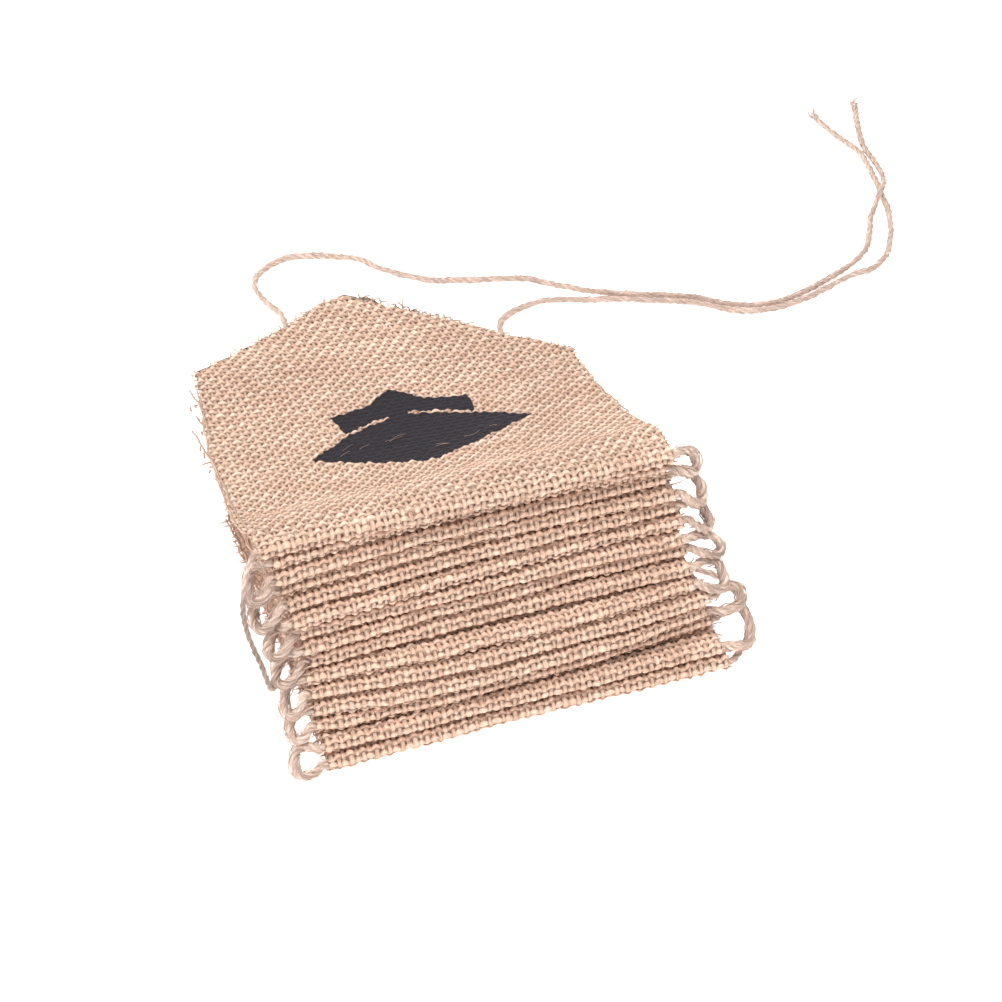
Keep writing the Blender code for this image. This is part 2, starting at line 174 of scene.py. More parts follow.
WARP_PLACES = (0.0, 0.25, 0.5, 0.75)  # points of the fine mesh in one pitch
WEFT_PLACES = (0.0, 0.18, 0.36, 0.5, 0.64, 0.82)
TOP_BACK_ARC = -5.0  # the fine weave of the casing begins here, on the flap
FINE_ARC = 12.0  # and ends here on the lower pennants
COARSE = 5  # threads between the rows of the hidden cloth
INNER_ARC = 6.0  # the inner side has rows at these places up to here
INNER_PLACES = (0.0, 0.33, 0.67)
TIP_FROM, TIP_TO = 169.0, 174.5  # the point is worn round between these lines
TIP_BLUNT = 1.02  # over 1, so it ends blunt
RAGGED = (-0.5, 0.35)  # how far a weft thread's end lies in or out
RAGGED_CASING, CASING_REACH = 0.3, 6.0  # share of that near the fold, and up to where
FLAP_THREADS, MOST_THREADS = 20, 200  # room for the weft threads, on the flap and in all
RIM, RIM_FLAT = 0.3, 0.55  # width of the rim, and share of the relief on it

FRONT_WOBBLE, FRONT_WAVE = 0.5, 17.0  # of the front line, and the length it turns over in
FACE_WOBBLE, FACE_WAVES = 0.28, (34.0, 29.0)  # of the face, across and along
FACE_CALM = 40.0  # from the casing until it is full
FACE_STEP = 2.0  # between the rows where the cloth's slope is read
BEND = BEAD - CLOTH / 2  # radius of the cloth's middle round the twine
QUARTER = BEND * math.pi / 2  # its length over a quarter turn

# The print
BOARD_CENTRE = (-0.4, 65.6)  # across, along
BOARD_HALF = (40.6, 21.0)  # half its width and half its depth
BOARD_MIDDLE = -2.7  # its near and far corners are this far off the middle
BOARD_TURN = math.radians(4.2)
BACK_BOW, FRONT_BOW = 3.5, 1.0  # how far its edges bow out
CAP_HALF = 24.0  # half width of the cap over the board's back edges
CAP_SPREAD = 1.07  # its far edge is wider by this
CAP_DEPTH = 12.5  # of the cap's two arms
CAP_FLARE = 3.5  # more at their ends
CAP_PEAK = 7.5  # more in the middle
PEAK_AT = 0.3  # across
PEAK_FOOT, PEAK_FLAT = 9.0, 1.0  # half its width at its foot and on top
CAP_GAP = 1.8  # bare line between the board and the cap
GAP_SPREAD = 1.1  # it is wider than the cap by this
CAP_JOIN = 3.8  # the line stops this far from the middle
INK_FILLS, INK_RISE = 0.75, 0.2  # share of the weave's relief that the ink fills, its height

# The twine
PLIES = 3
PLY_RADIUS = 0.66  # of each ply
PLY_OFFSET = 0.56  # of its axis from the twine's
PLY_SIDES = 6
LOOP_SLACK = 1.36  # the loops are slack and so thicker
HIDDEN_THICK = 0.85  # inside the casings
TWIST = 11.0  # length of one turn of the plies
SHAKE = 0.2  # how far the twine strays from its route
FINE_STEP = 0.7  # between points where the twine shows
HIDDEN_STEP = 3.0  # and inside the casings
SPLAY = 11.0  # length of the frayed tip of a free end
SPLAY_OUT = 1.1  # how far its plies spread there
DARKENED_LEFT = 68.0  # the left end is thinner and darker until this far from its casing
DARKENED_FROM, DARKENED_IN, DARKENED_OUT = 13.0, 9.0, 15.0  # from here on, over these lengths in and out
DARKENED_THIN = 0.22
STRANDS = 13  # loose strands of fibre along a loop
MORE_STRANDS = {2: 12, 4: 12, 6: 12}  # and more along these loops
HAIRS_PER_MM = 1.8
END_HAIRS = 0.6  # share of them on the free ends
TIP_HAIRS = 30  # more at their tips
HAIR_REACH = 3.1  # from the twine's axis
HAIR_RADII = (0.08, 0.07, 0.055, 0.02)

# Loose threads and fibres of the cloth
FRONT_HAIRS = (230, -4.5, 9.0, 4.2)  # count, from and to along, the longest
FACE_HAIRS = (620, 6.0, TIP_FROM - 3, 3.2)
ENDS_KEPT = 0.93  # share of the cut threads that stick out
END_LONGEST, SLANT_LONGEST = 3.6, 2.8
FRAYED_BELOW = 8  # the pennants below this one are frayed more at the left
PRINT_FIBRES = 9
TUFT_THREADS = 16
LOOSE_YARNS = [  # out from the left edge of the top pennant, along
    [(3.4, 122.0), (1.8, 115.0), (0.2, 108.0), (-0.6, 99.0), (-1.0, 86.0)],
    [(4.8, 97.0), (3.2, 90.0), (1.4, 82.0), (0.1, 74.0), (-0.7, 58.0), (-1.2, 40.0), (-1.6, 20.0),
     (-2.4, 7.0)],
    [(-1.4, 26.0), (-2.2, 21.0), (-3.4, 16.0), (-5.2, 10.0), (-6.4, 5.0)],
]
YARN_RADIUS = 0.42

# Colours
# the first two are the yarn's own colours; the brown is painted shade for the pits and the yarns' sides
PALE, TAN, SHADE_BROWN = (0.90, 0.655, 0.525), (0.76, 0.515, 0.39), (0.15, 0.075, 0.042)
INK = (0.0205, 0.0170, 0.0235)
END_DARK, END_PALE = (0.57, 0.415, 0.34), (0.88, 0.70, 0.615)
# painted light: the loops' twine is painted lighter than the same twine at the free ends, against the
# shade that the loops cast on each other
LIT_LOOP_DARK, LIT_LOOP_PALE = (0.66, 0.475, 0.385), (0.96, 0.78, 0.675)
YARN_DARK, YARN_PALE = (0.66, 0.43, 0.32), (0.92, 0.71, 0.58)
PAPER = (0.9, 0.9, 0.9)

# Camera and light
CAMERA_PLACE = np.array((-185.86, -660.35, 790.84))  # in the tables' millimetres
CAMERA_TILT, CAMERA_TURN = math.radians(43.884), math.radians(-16.563)
CAMERA_LENS = 107.71
FLOOR_HALF = 4.0  # in metres, as are the lights' places and sizes
FLOOR_GLOW = 0.7
WORLD_LIGHT, WORLD_COLOUR = 0.5, (1.0, 0.985, 0.97)
KEY_LIGHT = {"place": (0.1, -0.2, 1.6), "aim": (0, 0, 0.03), "size": 1.1, "energy": 22.0,
             "colour": (1.0, 0.985, 0.96)}
FILL_LIGHT = {"place": (-1.1, -0.1, 0.45), "aim": (-0.05, 0, 0.03), "size": 0.8, "energy": 8.0,
              "colour": (1.0, 1.0, 1.0)}


# ---------------- where the cloth lies

def along_table(table, at, column):
    """Values of a column of the table, smoothly between its rows."""
    places, values = np.array([(row[0], row[column]) for row in table]).T
    slopes = np.gradient(values, places)
    slopes[1:-1] = (values[2:] - values[:-2]) / (places[2:] - places[:-2])
    at = np.clip(np.asarray(at, float), places[0], places[-1])
    i = np.clip(np.searchsorted(places, at, side="left") - 1, 0, len(places) - 2)
    span = places[i + 1] - places[i]
    t = (at - places[i]) / span
    return ((2 * t ** 3 - 3 * t ** 2 + 1) * values[i] + (t ** 3 - 2 * t ** 2 + t) * slopes[i] * span
            + (3 * t ** 2 - 2 * t ** 3) * values[i + 1] + (t ** 3 - t ** 2) * slopes[i + 1] * span)


def underside(level, x, y):
    """Height of the surface that a level rests on; level 0 is on the floor."""
    u = np.clip((x - SIDE_LEFT) / (SIDE_RIGHT - SIDE_LEFT), 0.0, 1.0)
    low = FRONT_LOW[0] + (FRONT_LOW[1] - FRONT_LOW[0]) * u
    step = FRONT_STEP[0] + (FRONT_STEP[1] - FRONT_STEP[0]) * u
    back = y - low - step * level
    height = level * (along_table(SINK, back, 1) * (1 - u) + along_table(SINK, back, 2) * u)
    if level >= TUCK_LEFT:
        height = height + along_table(ROOM, back, 1) * (1 - u)
    if level >= TUCK_RIGHT:
        height = height + along_table(ROOM, back, 2) * u * u
    return height


def steepness(level, x, y):
    rise_x = (underside(level, x + 1, y) - underside(level, x - 1, y)) / 2
    rise_y = (underside(level, x, y + 1) - underside(level, x, y - 1)) / 2
    return np.sqrt(1 + rise_x ** 2 + rise_y ** 2)


def front_line(pennant, x):
    width, centre, left, mid, right = pennant[:5]
    t = (x - centre) / (width / 2)
    return mid + (right - left) / 2 * t + ((right + left) / 2 - mid) * t * t


def casing_axis(number, share):
    pennant = PENNANTS[number - 1]
    x = pennant[1] + share * pennant[0] / 2
    y = front_line(pennant, x)
    return np.array((x, y, float(underside(LEVELS - number, x, y)) + BEAD))


def sideways(pennant, along):
    swing, tip = pennant[5], pennant[6]
    before = swing * along / SIDE_LENGTH
    after = swing + (tip - swing) * (along - SIDE_LENGTH) / (POINT_LENGTH - SIDE_LENGTH)
    return np.where(along <= SIDE_LENGTH, before, after)


KNOTS = (211, 199)  # values in a field of noise, which repeats after them


@functools.cache
def noise_knots(seed):
    return np.random.default_rng(seed).uniform(-1, 1, KNOTS)


def smooth_noise(seed, u, v=0.0):
    """Noise of about -1 to 1 that turns over about one unit of u and of v."""
    knots = noise_knots(seed)
    u, v = np.broadcast_arrays(u, v)
    i, j = np.floor(u).astype(int), np.floor(v).astype(int)
    a, b = u - i, v - j
    a, b = a * a * (3 - 2 * a), b * b * (3 - 2 * b)
    i_next, j_next = (i + 1) % KNOTS[0], (j + 1) % KNOTS[1]
    i, j = i % KNOTS[0], j % KNOTS[1]
    return ((knots[i, j] * (1 - a) + knots[i_next, j] * a) * (1 - b)
            + (knots[i, j_next] * (1 - a) + knots[i_next, j_next] * a) * b)


def face_back(level, pennant, x, front, along):
    """How far back the places lie that are this far along the cloth, behind each x in front."""
    backs = [front]
    for step in np.arange(FACE_STEP, POINT_LENGTH + 3 * FACE_STEP, FACE_STEP):
        over, back = x + sideways(pennant, step), backs[-1]
        slope = (underside(level, over, back + 2) - underside(level, over, back - 2)) / 4
        backs.append(back + FACE_STEP / np.where(step > FLAP_END, np.sqrt(1 + slope ** 2), 1.0))
    backs, column = np.array(backs), np.arange(len(x))
    row = np.floor(along / FACE_STEP).astype(int)
    part = along / FACE_STEP - row
    return backs[row, column] * (1 - part) + backs[row + 1, column] * part


def cloth_middle(number, across, arc):
    """Points of the middle of the cloth, at places across the pennant and distances from the
    fold, less than zero on the flap.  arc has a value for each place, or is a column of rows."""
    pennant = PENNANTS[number - 1]
    level = LEVELS - number
    x = pennant[1] + across
    axis_y = front_line(pennant, x) + smooth_noise(number, x / FRONT_WAVE) * FRONT_WOBBLE
    turn = np.clip(arc / BEND, -math.pi / 2, math.pi / 2)
    y = axis_y - BEND * np.cos(turn)
    z = underside(level, x, axis_y) + BEAD + BEND * np.sin(turn)

    flap = -arc - QUARTER
    z = np.where(flap > 0, underside(level, x, axis_y + flap) + CLOTH / 2, z)
    y = np.where(flap > 0, axis_y + flap, y)

    along = np.maximum(arc - QUARTER, 0.0)
    face_x = x + sideways(pennant, along)
    face_y = face_back(level, pennant, x, axis_y, along)
    wave = smooth_noise(40 + number, face_x / FACE_WAVES[0], face_y / FACE_WAVES[1])
    wave = wave * np.clip(along / FACE_CALM, 0, 1) * FACE_WOBBLE
    lift = (along_table(LIFT, along, 1) + CLOTH / 2) * steepness(level, face_x, face_y)
    face = np.stack((face_x, face_y, underside(level, face_x, face_y) + lift + wave), -1)
    casing = np.stack(np.broadcast_arrays(x, y, z), -1)
    return np.where((arc > QUARTER)[..., None], face, casing)


def unit(vectors):
    return vectors / np.maximum(np.linalg.norm(vectors, axis=-1, keepdims=True), 1e-9)


# ---------------- the weave

def near_fold(arc):
    """1 on the fold of the casing, down to 0 away from it."""
    return np.exp(-(arc / FOLD_REACH) ** 2)


def weave_height(s, t, arc, seed):
    """Height of the threads over the middle of the cloth, at thread numbers s and t.
    The sizes, the crimp and the fibres are uneven, by the shares written here."""
    near = near_fold(arc)
    thin = 1 - near * (CASING_THIN + 0.16 * smooth_noise(seed + 7, s * 0.55, t * 1.1))
    i, j = np.round(s), np.round(t)
    each = noise_knots(seed)[i.astype(int) % KNOTS[0], j.astype(int) % KNOTS[1]]
    weft_size = 1 + 0.16 * smooth_noise(seed + 1, s * 0.4, j) + 0.1 * smooth_noise(seed + 2, s * 0.05, j)
    warp_size = 1 + 0.2 * smooth_noise(seed + 3, i, t * 0.4)
    weft_out = np.abs(t - j) * WEFT_PITCH / (WEFT_HALF * weft_size * thin)
    warp_out = np.abs(s - i) * WARP_PITCH / (WARP_HALF * warp_size * (1 + CASING_WIDE * near))
    weft = (WEFT_OVER + WEFT_CRIMP * (1 + 0.4 * each) * np.cos(np.pi * s) * np.cos(np.pi * j)
            + WEFT_THICK * weft_size * np.sqrt(np.clip(1 - weft_out ** 2, 0, 1)))
    warp = (-WARP_CRIMP * np.cos(np.pi * t) * np.cos(np.pi * i)
            + WARP_THICK * warp_size * np.sqrt(np.clip(1 - warp_out ** 2, 0, 1)))
    weft, warp = np.where(weft_out < 1, weft, PIT), np.where(warp_out < 1, warp, PIT)
    high = np.maximum(np.maximum(weft, warp), PIT)
    uneven = 0.1 * smooth_noise(seed + 4, s * 0.8, t * 0.8)
    fibres = (0.07 + 0.09 * near) * smooth_noise(seed + 8, s * 2.3, t * 5.5)
    return high - SINK_IN + uneven + fibres


def thread_places(first, last, places):
    """The places of every thread from first to last."""
    found = [n + p for n in range(math.floor(first) - 1, math.ceil(last) + 2) for p in places]
    return np.array([v for v in found if first - 1e-6 <= v <= last + 1e-6])


class Lattice:
    """The threads of one pennant: their counts, their pitch, and the raw outline."""

    def __init__(self, number):
        self.number = number
        self.is_top = number == 1
        self.width = PENNANTS[number - 1][0]
        self.cut = CUT.get(number, TRUE_CUT)
        self.warps = round(self.width / WARP_PITCH)
        self.pitch = self.width / self.warps
        rng = np.random.default_rng(700 + number)
        self.phase = rng.uniform(-0.5, 0.5)
        self.ragged = rng.uniform(*RAGGED, (2, MOST_THREADS))

    def slope(self, side):
        """How much the cloth widens for each millimetre from the point."""
        return (self.width / 2 - self.cut[2]) / (POINT_LENGTH - self.cut[side])

    def across(self, s):
        return (s - (self.warps - 1) / 2) * self.pitch

    def arc(self, t):
        return (t - self.phase) * WEFT_PITCH

    def weft(self, arc):
        return arc / WEFT_PITCH + self.phase

    def half_width(self, arc, side):
        """How far the cloth reaches to the left (side 0) or right (side 1) at each arc."""
        along = arc - QUARTER
        slope = self.slope(side)
        reach = self.width / 2 - self.cut[2] * np.clip(along / self.cut[side], 0, 1)
        if side == 0 and self.is_top:
            reach = reach + np.interp(along, *zip(*BULGE))
        for first, last, start, depth in TUCKED:
            if side == 0 and first <= self.number <= last:
                reach = reach - depth * np.clip((along - start) / TUCK_EASE, 0, 1)
        reach = np.minimum(reach, (POINT_LENGTH - along) * slope)
        narrowing = np.clip((along - TIP_FROM) / (TIP_TO - TIP_FROM), 0, 1)
        tip = (POINT_LENGTH - TIP_FROM) * slope * np.sqrt(TIP_BLUNT - narrowing ** 2)
        reach = np.where(narrowing > 0, np.minimum(reach, tip), reach)
        thread = np.clip(np.round(self.weft(arc)).astype(int) + FLAP_THREADS, 0, MOST_THREADS - 1)
        calm = np.where(np.abs(along) < CASING_REACH, RAGGED_CASING, 1.0)
        return reach + self.ragged[side, thread] * calm


def strays(lattice, s, t, a, near):
    """How far the threads stray across and along the cloth."""
    seed = 60 * lattice.number
    calm = np.clip((lattice.width / 2 - np.abs(a)) / CALM_EDGE, CALM_LEAST, 1.0)
    go_a = smooth_noise(seed + 5, s * 0.9, t * 0.35) * WANDER * calm
    sway = SWAY * np.cos(np.pi * s) * np.cos(np.pi * np.round(t)) * (1 + 0.9 * near)
    often = 0.3 + 0.25 * (near > 0.02)
    return go_a, smooth_noise(seed + 6, s * often, t * 0.9) * (WANDER + 0.2 * near) + sway


def faces_inside(inside):
    """Faces between those places of a grid that are inside the outline."""
    index = np.full(inside.shape, -1)
    index[inside] = np.arange(inside.sum())
    quads = np.stack((index[:-1, :-1], index[:-1, 1:], index[1:, 1:], index[1:, :-1]), -1)
    quads = quads.reshape(-1, 4)
    count = (quads >= 0).sum(1)
    corners = [[v for v in quad if v >= 0] for quad in quads[count == 3].tolist()]
    return quads[count == 4].tolist() + corners


def outline_grid(lattice, s, t, side_rise, woven=None):
    """Points, faces and thread numbers of one side of a pennant, cut to its outline.  Between
    the two rows in woven it has the relief of the weave, and it is plain elsewhere."""
    across, arc = lattice.across(s), lattice.arc(t)[:, None]
    middle = cloth_middle(lattice.number, across, arc)
    s, t = np.meshgrid(s, t)
    left, right = -lattice.half_width(arc, 0), lattice.half_width(arc, 1)
    a = np.broadcast_to(across, s.shape)
    gap = np.gradient(across) * 0.75
    inside = (a > left - gap) & (a < right + gap)
    rise, kind = np.full(s.shape, side_rise), np.zeros(s.shape)
    if woven:
        kind = np.where((t > woven[0] - 0.01) & (t < woven[1] + 0.01), 1.0, 0.0)
        rise = np.where(kind > 0, weave_height(s, t, arc, 60 * lattice.number), rise)
    if woven and lattice.is_top:
        inked = np.clip(cap_print(a, arc - QUARTER) / 0.8 + 0.5, 0, 1)
        rise = rise * (1 - INK_FILLS * inked) + INK_RISE * inked
    rim = (a <= left + RIM) | (a >= right - RIM)
    way_a, way_w = np.gradient(middle, axis=1), np.gradient(middle, axis=0)
    go_a, go_w = strays(lattice, s, t, a, near_fold(arc))
    go_a = np.clip(a, left, right) - a + go_a
    places = middle + unit(way_a) * go_a[..., None] + unit(way_w) * go_w[..., None]
    places = places + unit(np.cross(way_a, way_w)) * np.where(rim, rise * RIM_FLAT, rise)[..., None]
    return places[inside], faces_inside(inside), np.stack((s, t, kind), -1)[inside]


def boundary_loop(faces):
    """The vertices round the edge of a patch, in order."""
    sides = {side for face in faces for side in zip(face, face[1:] + face[:1])}
    follow = {a: b for a, b in sides if (b, a) not in sides}
    start = min(follow)
    loop = [start]
    while follow[loop[-1]] != start:
        loop.append(follow[loop[-1]])
        if len(loop) > len(follow):
            raise RuntimeError("the edge of a pennant is not one loop")
    return loop


def runs(line):
    """Distance along a line at each of its points."""
    return np.concatenate(((0.0,), np.cumsum(np.linalg.norm(np.diff(line, axis=0), axis=1))))


def zip_loops(points, outer, inner):
    """Triangles between two loops of vertices that run side by side."""
    def shares(loop):
        """Share of the way round a loop at each of its points."""
        ring = points[loop + loop[:1]]
        return runs(ring) / np.linalg.norm(np.diff(ring, axis=0), axis=1).sum()

    start = int(np.argmin(np.linalg.norm(points[inner] - points[outer[0]], axis=1)))
    inner = inner[start:] + inner[:start]
    along_outer, along_inner = shares(outer), shares(inner)
    faces, i, j = [], 0, 0
    while i < len(outer) or j < len(inner):
        a, b = outer[i % len(outer)], inner[j % len(inner)]
        if j >= len(inner) or (i < len(outer) and along_outer[i + 1] <= along_inner[j + 1]):
            i += 1
            faces.append([b, outer[i % len(outer)], a])
        else:
            j += 1
            faces.append([b, inner[j % len(inner)], a])
    return faces


def mesh_piece(name, points, faces, threads, extra):
    """A mesh object in the frame, in metres, from points in the tables' millimetres."""
    mesh = bpy.data.meshes.new(name)
    points = points - ORIGIN
    points[:, 2] = np.maximum(points[:, 2], FLOOR_CLEAR)
    mesh.from_pydata((points * MM).tolist(), [], faces)
    layer = mesh.attributes.new("threads", "FLOAT_VECTOR", "POINT")
    layer.data.foreach_set("vector", threads.astype(np.float32).ravel())
    for label, values in extra.items():
        layer = mesh.attributes.new(label, "FLOAT", "POINT")
        layer.data.foreach_set("value", values.astype(np.float32))
    mesh.shade_smooth()
    piece = bpy.data.objects.new(name, mesh)
    bpy.context.scene.collection.objects.link(piece)
    return piece


# ---------------- the printed cap

def signed_distance(points, near_edge, far_edge):
    """Distance inside the outline between two edges, less than zero outside it."""
    x, y = points[:, 0], points[:, 1]
    outline = list(zip(*near_edge)) + list(zip(*far_edge))[::-1]
    nearest = np.full(len(points), 1e9)
    inside = np.zeros(len(points), bool)
    for (ax, ay), (bx, by) in zip(outline, outline[1:] + outline[:1]):
        dx, dy = bx - ax, by - ay
        t = np.clip(((x - ax) * dx + (y - ay) * dy) / max(dx * dx + dy * dy, 1e-9), 0, 1)
        nearest = np.minimum(nearest, np.hypot(x - ax - t * dx, y - ay - t * dy))
        if ay != by:
            crosses = (ay > y) != (by > y)
            inside ^= crosses & (x < ax + (y - ay) * dx / (by - ay))
    return np.where(inside, nearest, -nearest)


def board_edge(u, bow):
    """Depth of the board at each place on one of its two long sides."""
    half, deep = BOARD_HALF
    corner = np.interp(u, (-half, BOARD_MIDDLE, half), (0.0, 1.0, 0.0))
    return deep * corner + bow * 4 * corner * (1 - corner)


def cap_print(across, along):
    """How far inside the printed cap each place on the cloth is."""
    across, along = np.broadcast_arrays(across, along)
    cos, sin = math.cos(BOARD_TURN), math.sin(BOARD_TURN)
    x, y = across.ravel() - BOARD_CENTRE[0], along.ravel() - BOARD_CENTRE[1]
    local = np.stack((x * cos + y * sin, -x * sin + y * cos), -1)

    u = np.linspace(-BOARD_HALF[0], BOARD_HALF[0], 21)
    board = signed_distance(local, (u, -board_edge(u, FRONT_BOW)), (u, board_edge(u, BACK_BOW)))
    u = np.linspace(-CAP_HALF, CAP_HALF, 25)
    inner = board_edge(u, BACK_BOW)
    peak = CAP_PEAK * np.clip((PEAK_FOOT - np.abs(u - PEAK_AT)) / (PEAK_FOOT - PEAK_FLAT), 0, 1)
    outer = inner + CAP_DEPTH + CAP_FLARE * (u / CAP_HALF) ** 4 + peak
    cap = signed_distance(local, (u, inner), (u * CAP_SPREAD, outer))
    u = u * GAP_SPREAD
    inner = board_edge(u, BACK_BOW)
    bare = signed_distance(local, (u, inner - 0.1), (u, inner + CAP_GAP))
    line = np.where(np.abs(local[:, 0] - BOARD_MIDDLE) > CAP_JOIN, -bare, 9.0)
    return np.maximum(board, np.minimum(cap, line)).reshape(across.shape)


# ---------------- the pennants

def cloth_rows(lattice):
    """Rows of the outer side, the first and last woven one, and rows of the inner side."""
    begin, end = lattice.weft(-QUARTER - FLAP_END), lattice.weft(QUARTER + TIP_TO)
    fine_from, inner_to = lattice.weft(TOP_BACK_ARC), lattice.weft(INNER_ARC)
    fine = thread_places(fine_from, end if lattice.is_top else lattice.weft(FINE_ARC), WEFT_PLACES)
    before = np.arange(begin, fine[0] - 0.5, COARSE)
    after = np.arange(fine[-1] + COARSE, end - 1.0, COARSE)
    outer = np.concatenate((before, fine, after, (end,) if end - fine[-1] > 0.2 else ()))
    inner = np.concatenate((before, thread_places(fine_from, inner_to, INNER_PLACES),
                            np.arange(inner_to + 1, end - 0.5, 2), (end,)))
    return outer, (fine[0], fine[-1]), inner


def make_cloth(lattice):
    """One pennant: woven outer side, plain inner side, and a closed rim between them."""
    outer_rows, woven, inner_rows = cloth_rows(lattice)
    first, last = -0.5 - EXTRA_WARPS * lattice.is_top, lattice.warps - 0.5
    outer, outer_faces, outer_threads = outline_grid(
        lattice, thread_places(first, last, WARP_PLACES), outer_rows, CLOTH / 2, woven)
    inner, inner_faces, inner_threads = outline_grid(
        lattice, thread_places(first, last, (0.5,)), inner_rows, -CLOTH / 2)
    inner_faces = [[v + len(outer) for v in face[::-1]] for face in inner_faces]
    points = np.concatenate((outer, inner))
    threads = np.concatenate((outer_threads, inner_threads))
    rim = zip_loops(points, boundary_loop(outer_faces), boundary_loop(inner_faces)[::-1])
    extra = {}
    if lattice.is_top:
        inked = cap_print(lattice.across(threads[:, 0]), lattice.arc(threads[:, 1]) - QUARTER)
        extra["print"] = np.where(threads[:, 2] > 0.5, inked, -9.0)
    return mesh_piece(f"cloth_{lattice.number:02d}", points, outer_faces + inner_faces + rim,
                      threads, extra)


# ---------------- tubes and lines

def tube_mesh(paths, radii, sides, normals, first):
    """Tubes along strands of equal count, their vertices numbered from first.  It gives points,
    faces, and for each point the distance along its strand and the turn round it."""
    tangents = unit(np.gradient(paths, axis=1))
    if normals is None:
        main = unit(paths[:, -1] - paths[:, 0])
        helper = np.where(np.abs(main[:, 2:]) < 0.8, (0.0, 0.0, 1.0), (1.0, 0.0, 0.0))
        normals = np.broadcast_to(helper[:, None, :], paths.shape)
    normals = unit(normals - tangents * (normals * tangents).sum(-1, keepdims=True))
    sides_on = np.cross(tangents, normals)
    angles = np.arange(sides) * 2 * math.pi / sides
    ring = (np.cos(angles)[:, None] * normals[:, :, None, :]
            + np.sin(angles)[:, None] * sides_on[:, :, None, :])
    points = paths[:, :, None, :] + radii[:, :, None, None] * ring
    index = first + np.arange(points.size // 3).reshape(points.shape[:3])
    turned = np.roll(index, -1, axis=2)
    quads = np.stack((index[:, :-1], turned[:, :-1], turned[:, 1:], index[:, 1:]), -1)
    caps = np.stack((index[:, 0, ::-1], index[:, -1]), 1)
    faces = quads.reshape(-1, 4).tolist() + caps.reshape(-1, sides).tolist()
    run = np.stack([runs(path) for path in paths])
    run = np.broadcast_to(run[:, :, None], points.shape[:3])
    turn = np.broadcast_to(angles, points.shape[:3])
    return points.reshape(-1, 3), faces, np.stack((run.ravel(), turn.ravel()), -1)


class Tubes:
    """Tubes of several kinds, gathered into one mesh."""

    def __init__(self):
        self.points, self.faces, self.marks, self.darkenings = [], [], [], []
        self.total = 0

    def add(self, paths, radii, sides, tone, darkening=0.0, normals=None):
        """paths is (strands, points, 3) and radii (strands, points), as tone and darkening may be."""
        points, faces, marks = tube_mesh(paths, radii, sides, normals, self.total)
        tone, darkening = (np.repeat(np.broadcast_to(values, radii.shape).ravel(), sides)
                       for values in (tone, darkening))
        self.points.append(points)
        self.faces += faces
        self.marks.append(np.column_stack((marks, tone)))
        self.darkenings.append(darkening)
        self.total += len(points)

    def piece(self, name):
        return mesh_piece(name, np.vstack(self.points), self.faces, np.vstack(self.marks),
                          {"darkening": np.concatenate(self.darkenings)})


def at_places(places, run, values):
    """Values given at each run along a line, at other places along it."""
    return np.stack([np.interp(places, run, values[:, k]) for k in range(3)], -1)


def smooth_route(points, step):
    """A smooth curve through the points, in even steps."""
    points = np.asarray(points, float)
    ends = np.vstack((points[0] * 2 - points[1], points, points[-1] * 2 - points[-2]))
    t = (np.arange(1, 17) / 16)[:, None]
    line = [points[:1]]
    for a, b, c, d in zip(ends, ends[1:], ends[2:], ends[3:]):
        line.append((b * 2 + (c - a) * t + (a * 2 - b * 5 + c * 4 - d) * t ** 2
                     + (b * 3 - a - c * 3 + d) * t ** 3) / 2)
    line = np.vstack(line)
    run = runs(line)
    return at_places(np.linspace(0, run[-1], max(2, round(run[-1] / step)) + 1), run, line)


# ---------------- routes of the twine

def half_run(number, side):
    """The twine inside half a casing, from the joint at its middle out to its end."""
    steps = COLUMNS // 2
    run = [casing_axis(number, side * n / steps) for n in range(steps + 1)]
    first = run[0] + (run[1] - run[0]) * JOINT_GAP / 2 / np.linalg.norm(run[1] - run[0])
    return [first] + run[1:]


def loop_route(upper, out, drop, spread):
    """Hidden run, bend and second hidden run of the twine between two neighbouring casings."""
    side = 1 if upper % 2 else -1
    first, second = half_run(upper, side), half_run(upper + 1, side)
    start, finish = first[-1], second[-1]
    reach = max(side * start[0], side * finish[0]) + out
    mid = (start + finish) / 2
    lead = np.array((side * EXIT, 0, 0))

    def beside(end, share, aside):
        x = end[0] + (side * reach - end[0]) * share
        return np.array((x, end[1] + aside, end[2] - drop * share ** 1.3))

    bend = [start + lead, beside(start, 0.5, spread), beside(start, 0.86, spread * 0.8),
            np.array((side * reach, mid[1], mid[2] - drop)),
            beside(finish, 0.86, -spread * 0.8), beside(finish, 0.5, -spread), finish + lead]
    return first, bend, second[::-1]


def end_route(number, side, table, level):
    """Hidden run and free end of the twine, and nothing after it."""
    run = half_run(number, side)
    points = [run[-1] + np.array((side * EXIT, 0, 0))]
    for x, y, z in table:
        if z is None:
            below = underside(level - 1, x, y) + CLOTH * steepness(level - 1, x, y)
            z = float(below + underside(level, x, y)) / 2
        points.append(np.array((x, y, z)))
    return run, points, None


# ---------------- the twine's look

def carried_frames(line):
    """Tangents of a line, and normals that turn as little as they can along it."""
    tangents = unit(np.gradient(line, axis=0))
    normal = np.cross(tangents[0], (0.0, 0.0, 1.0))
    if np.linalg.norm(normal) < 0.1:
        normal = np.cross(tangents[0], (0.0, 1.0, 0.0))
    normals = []
    for tangent in tangents:
        normal = normal - tangent * (normal @ tangent)
        normal = normal / np.linalg.norm(normal)
        normals.append(normal)
    return tangents, np.array(normals)


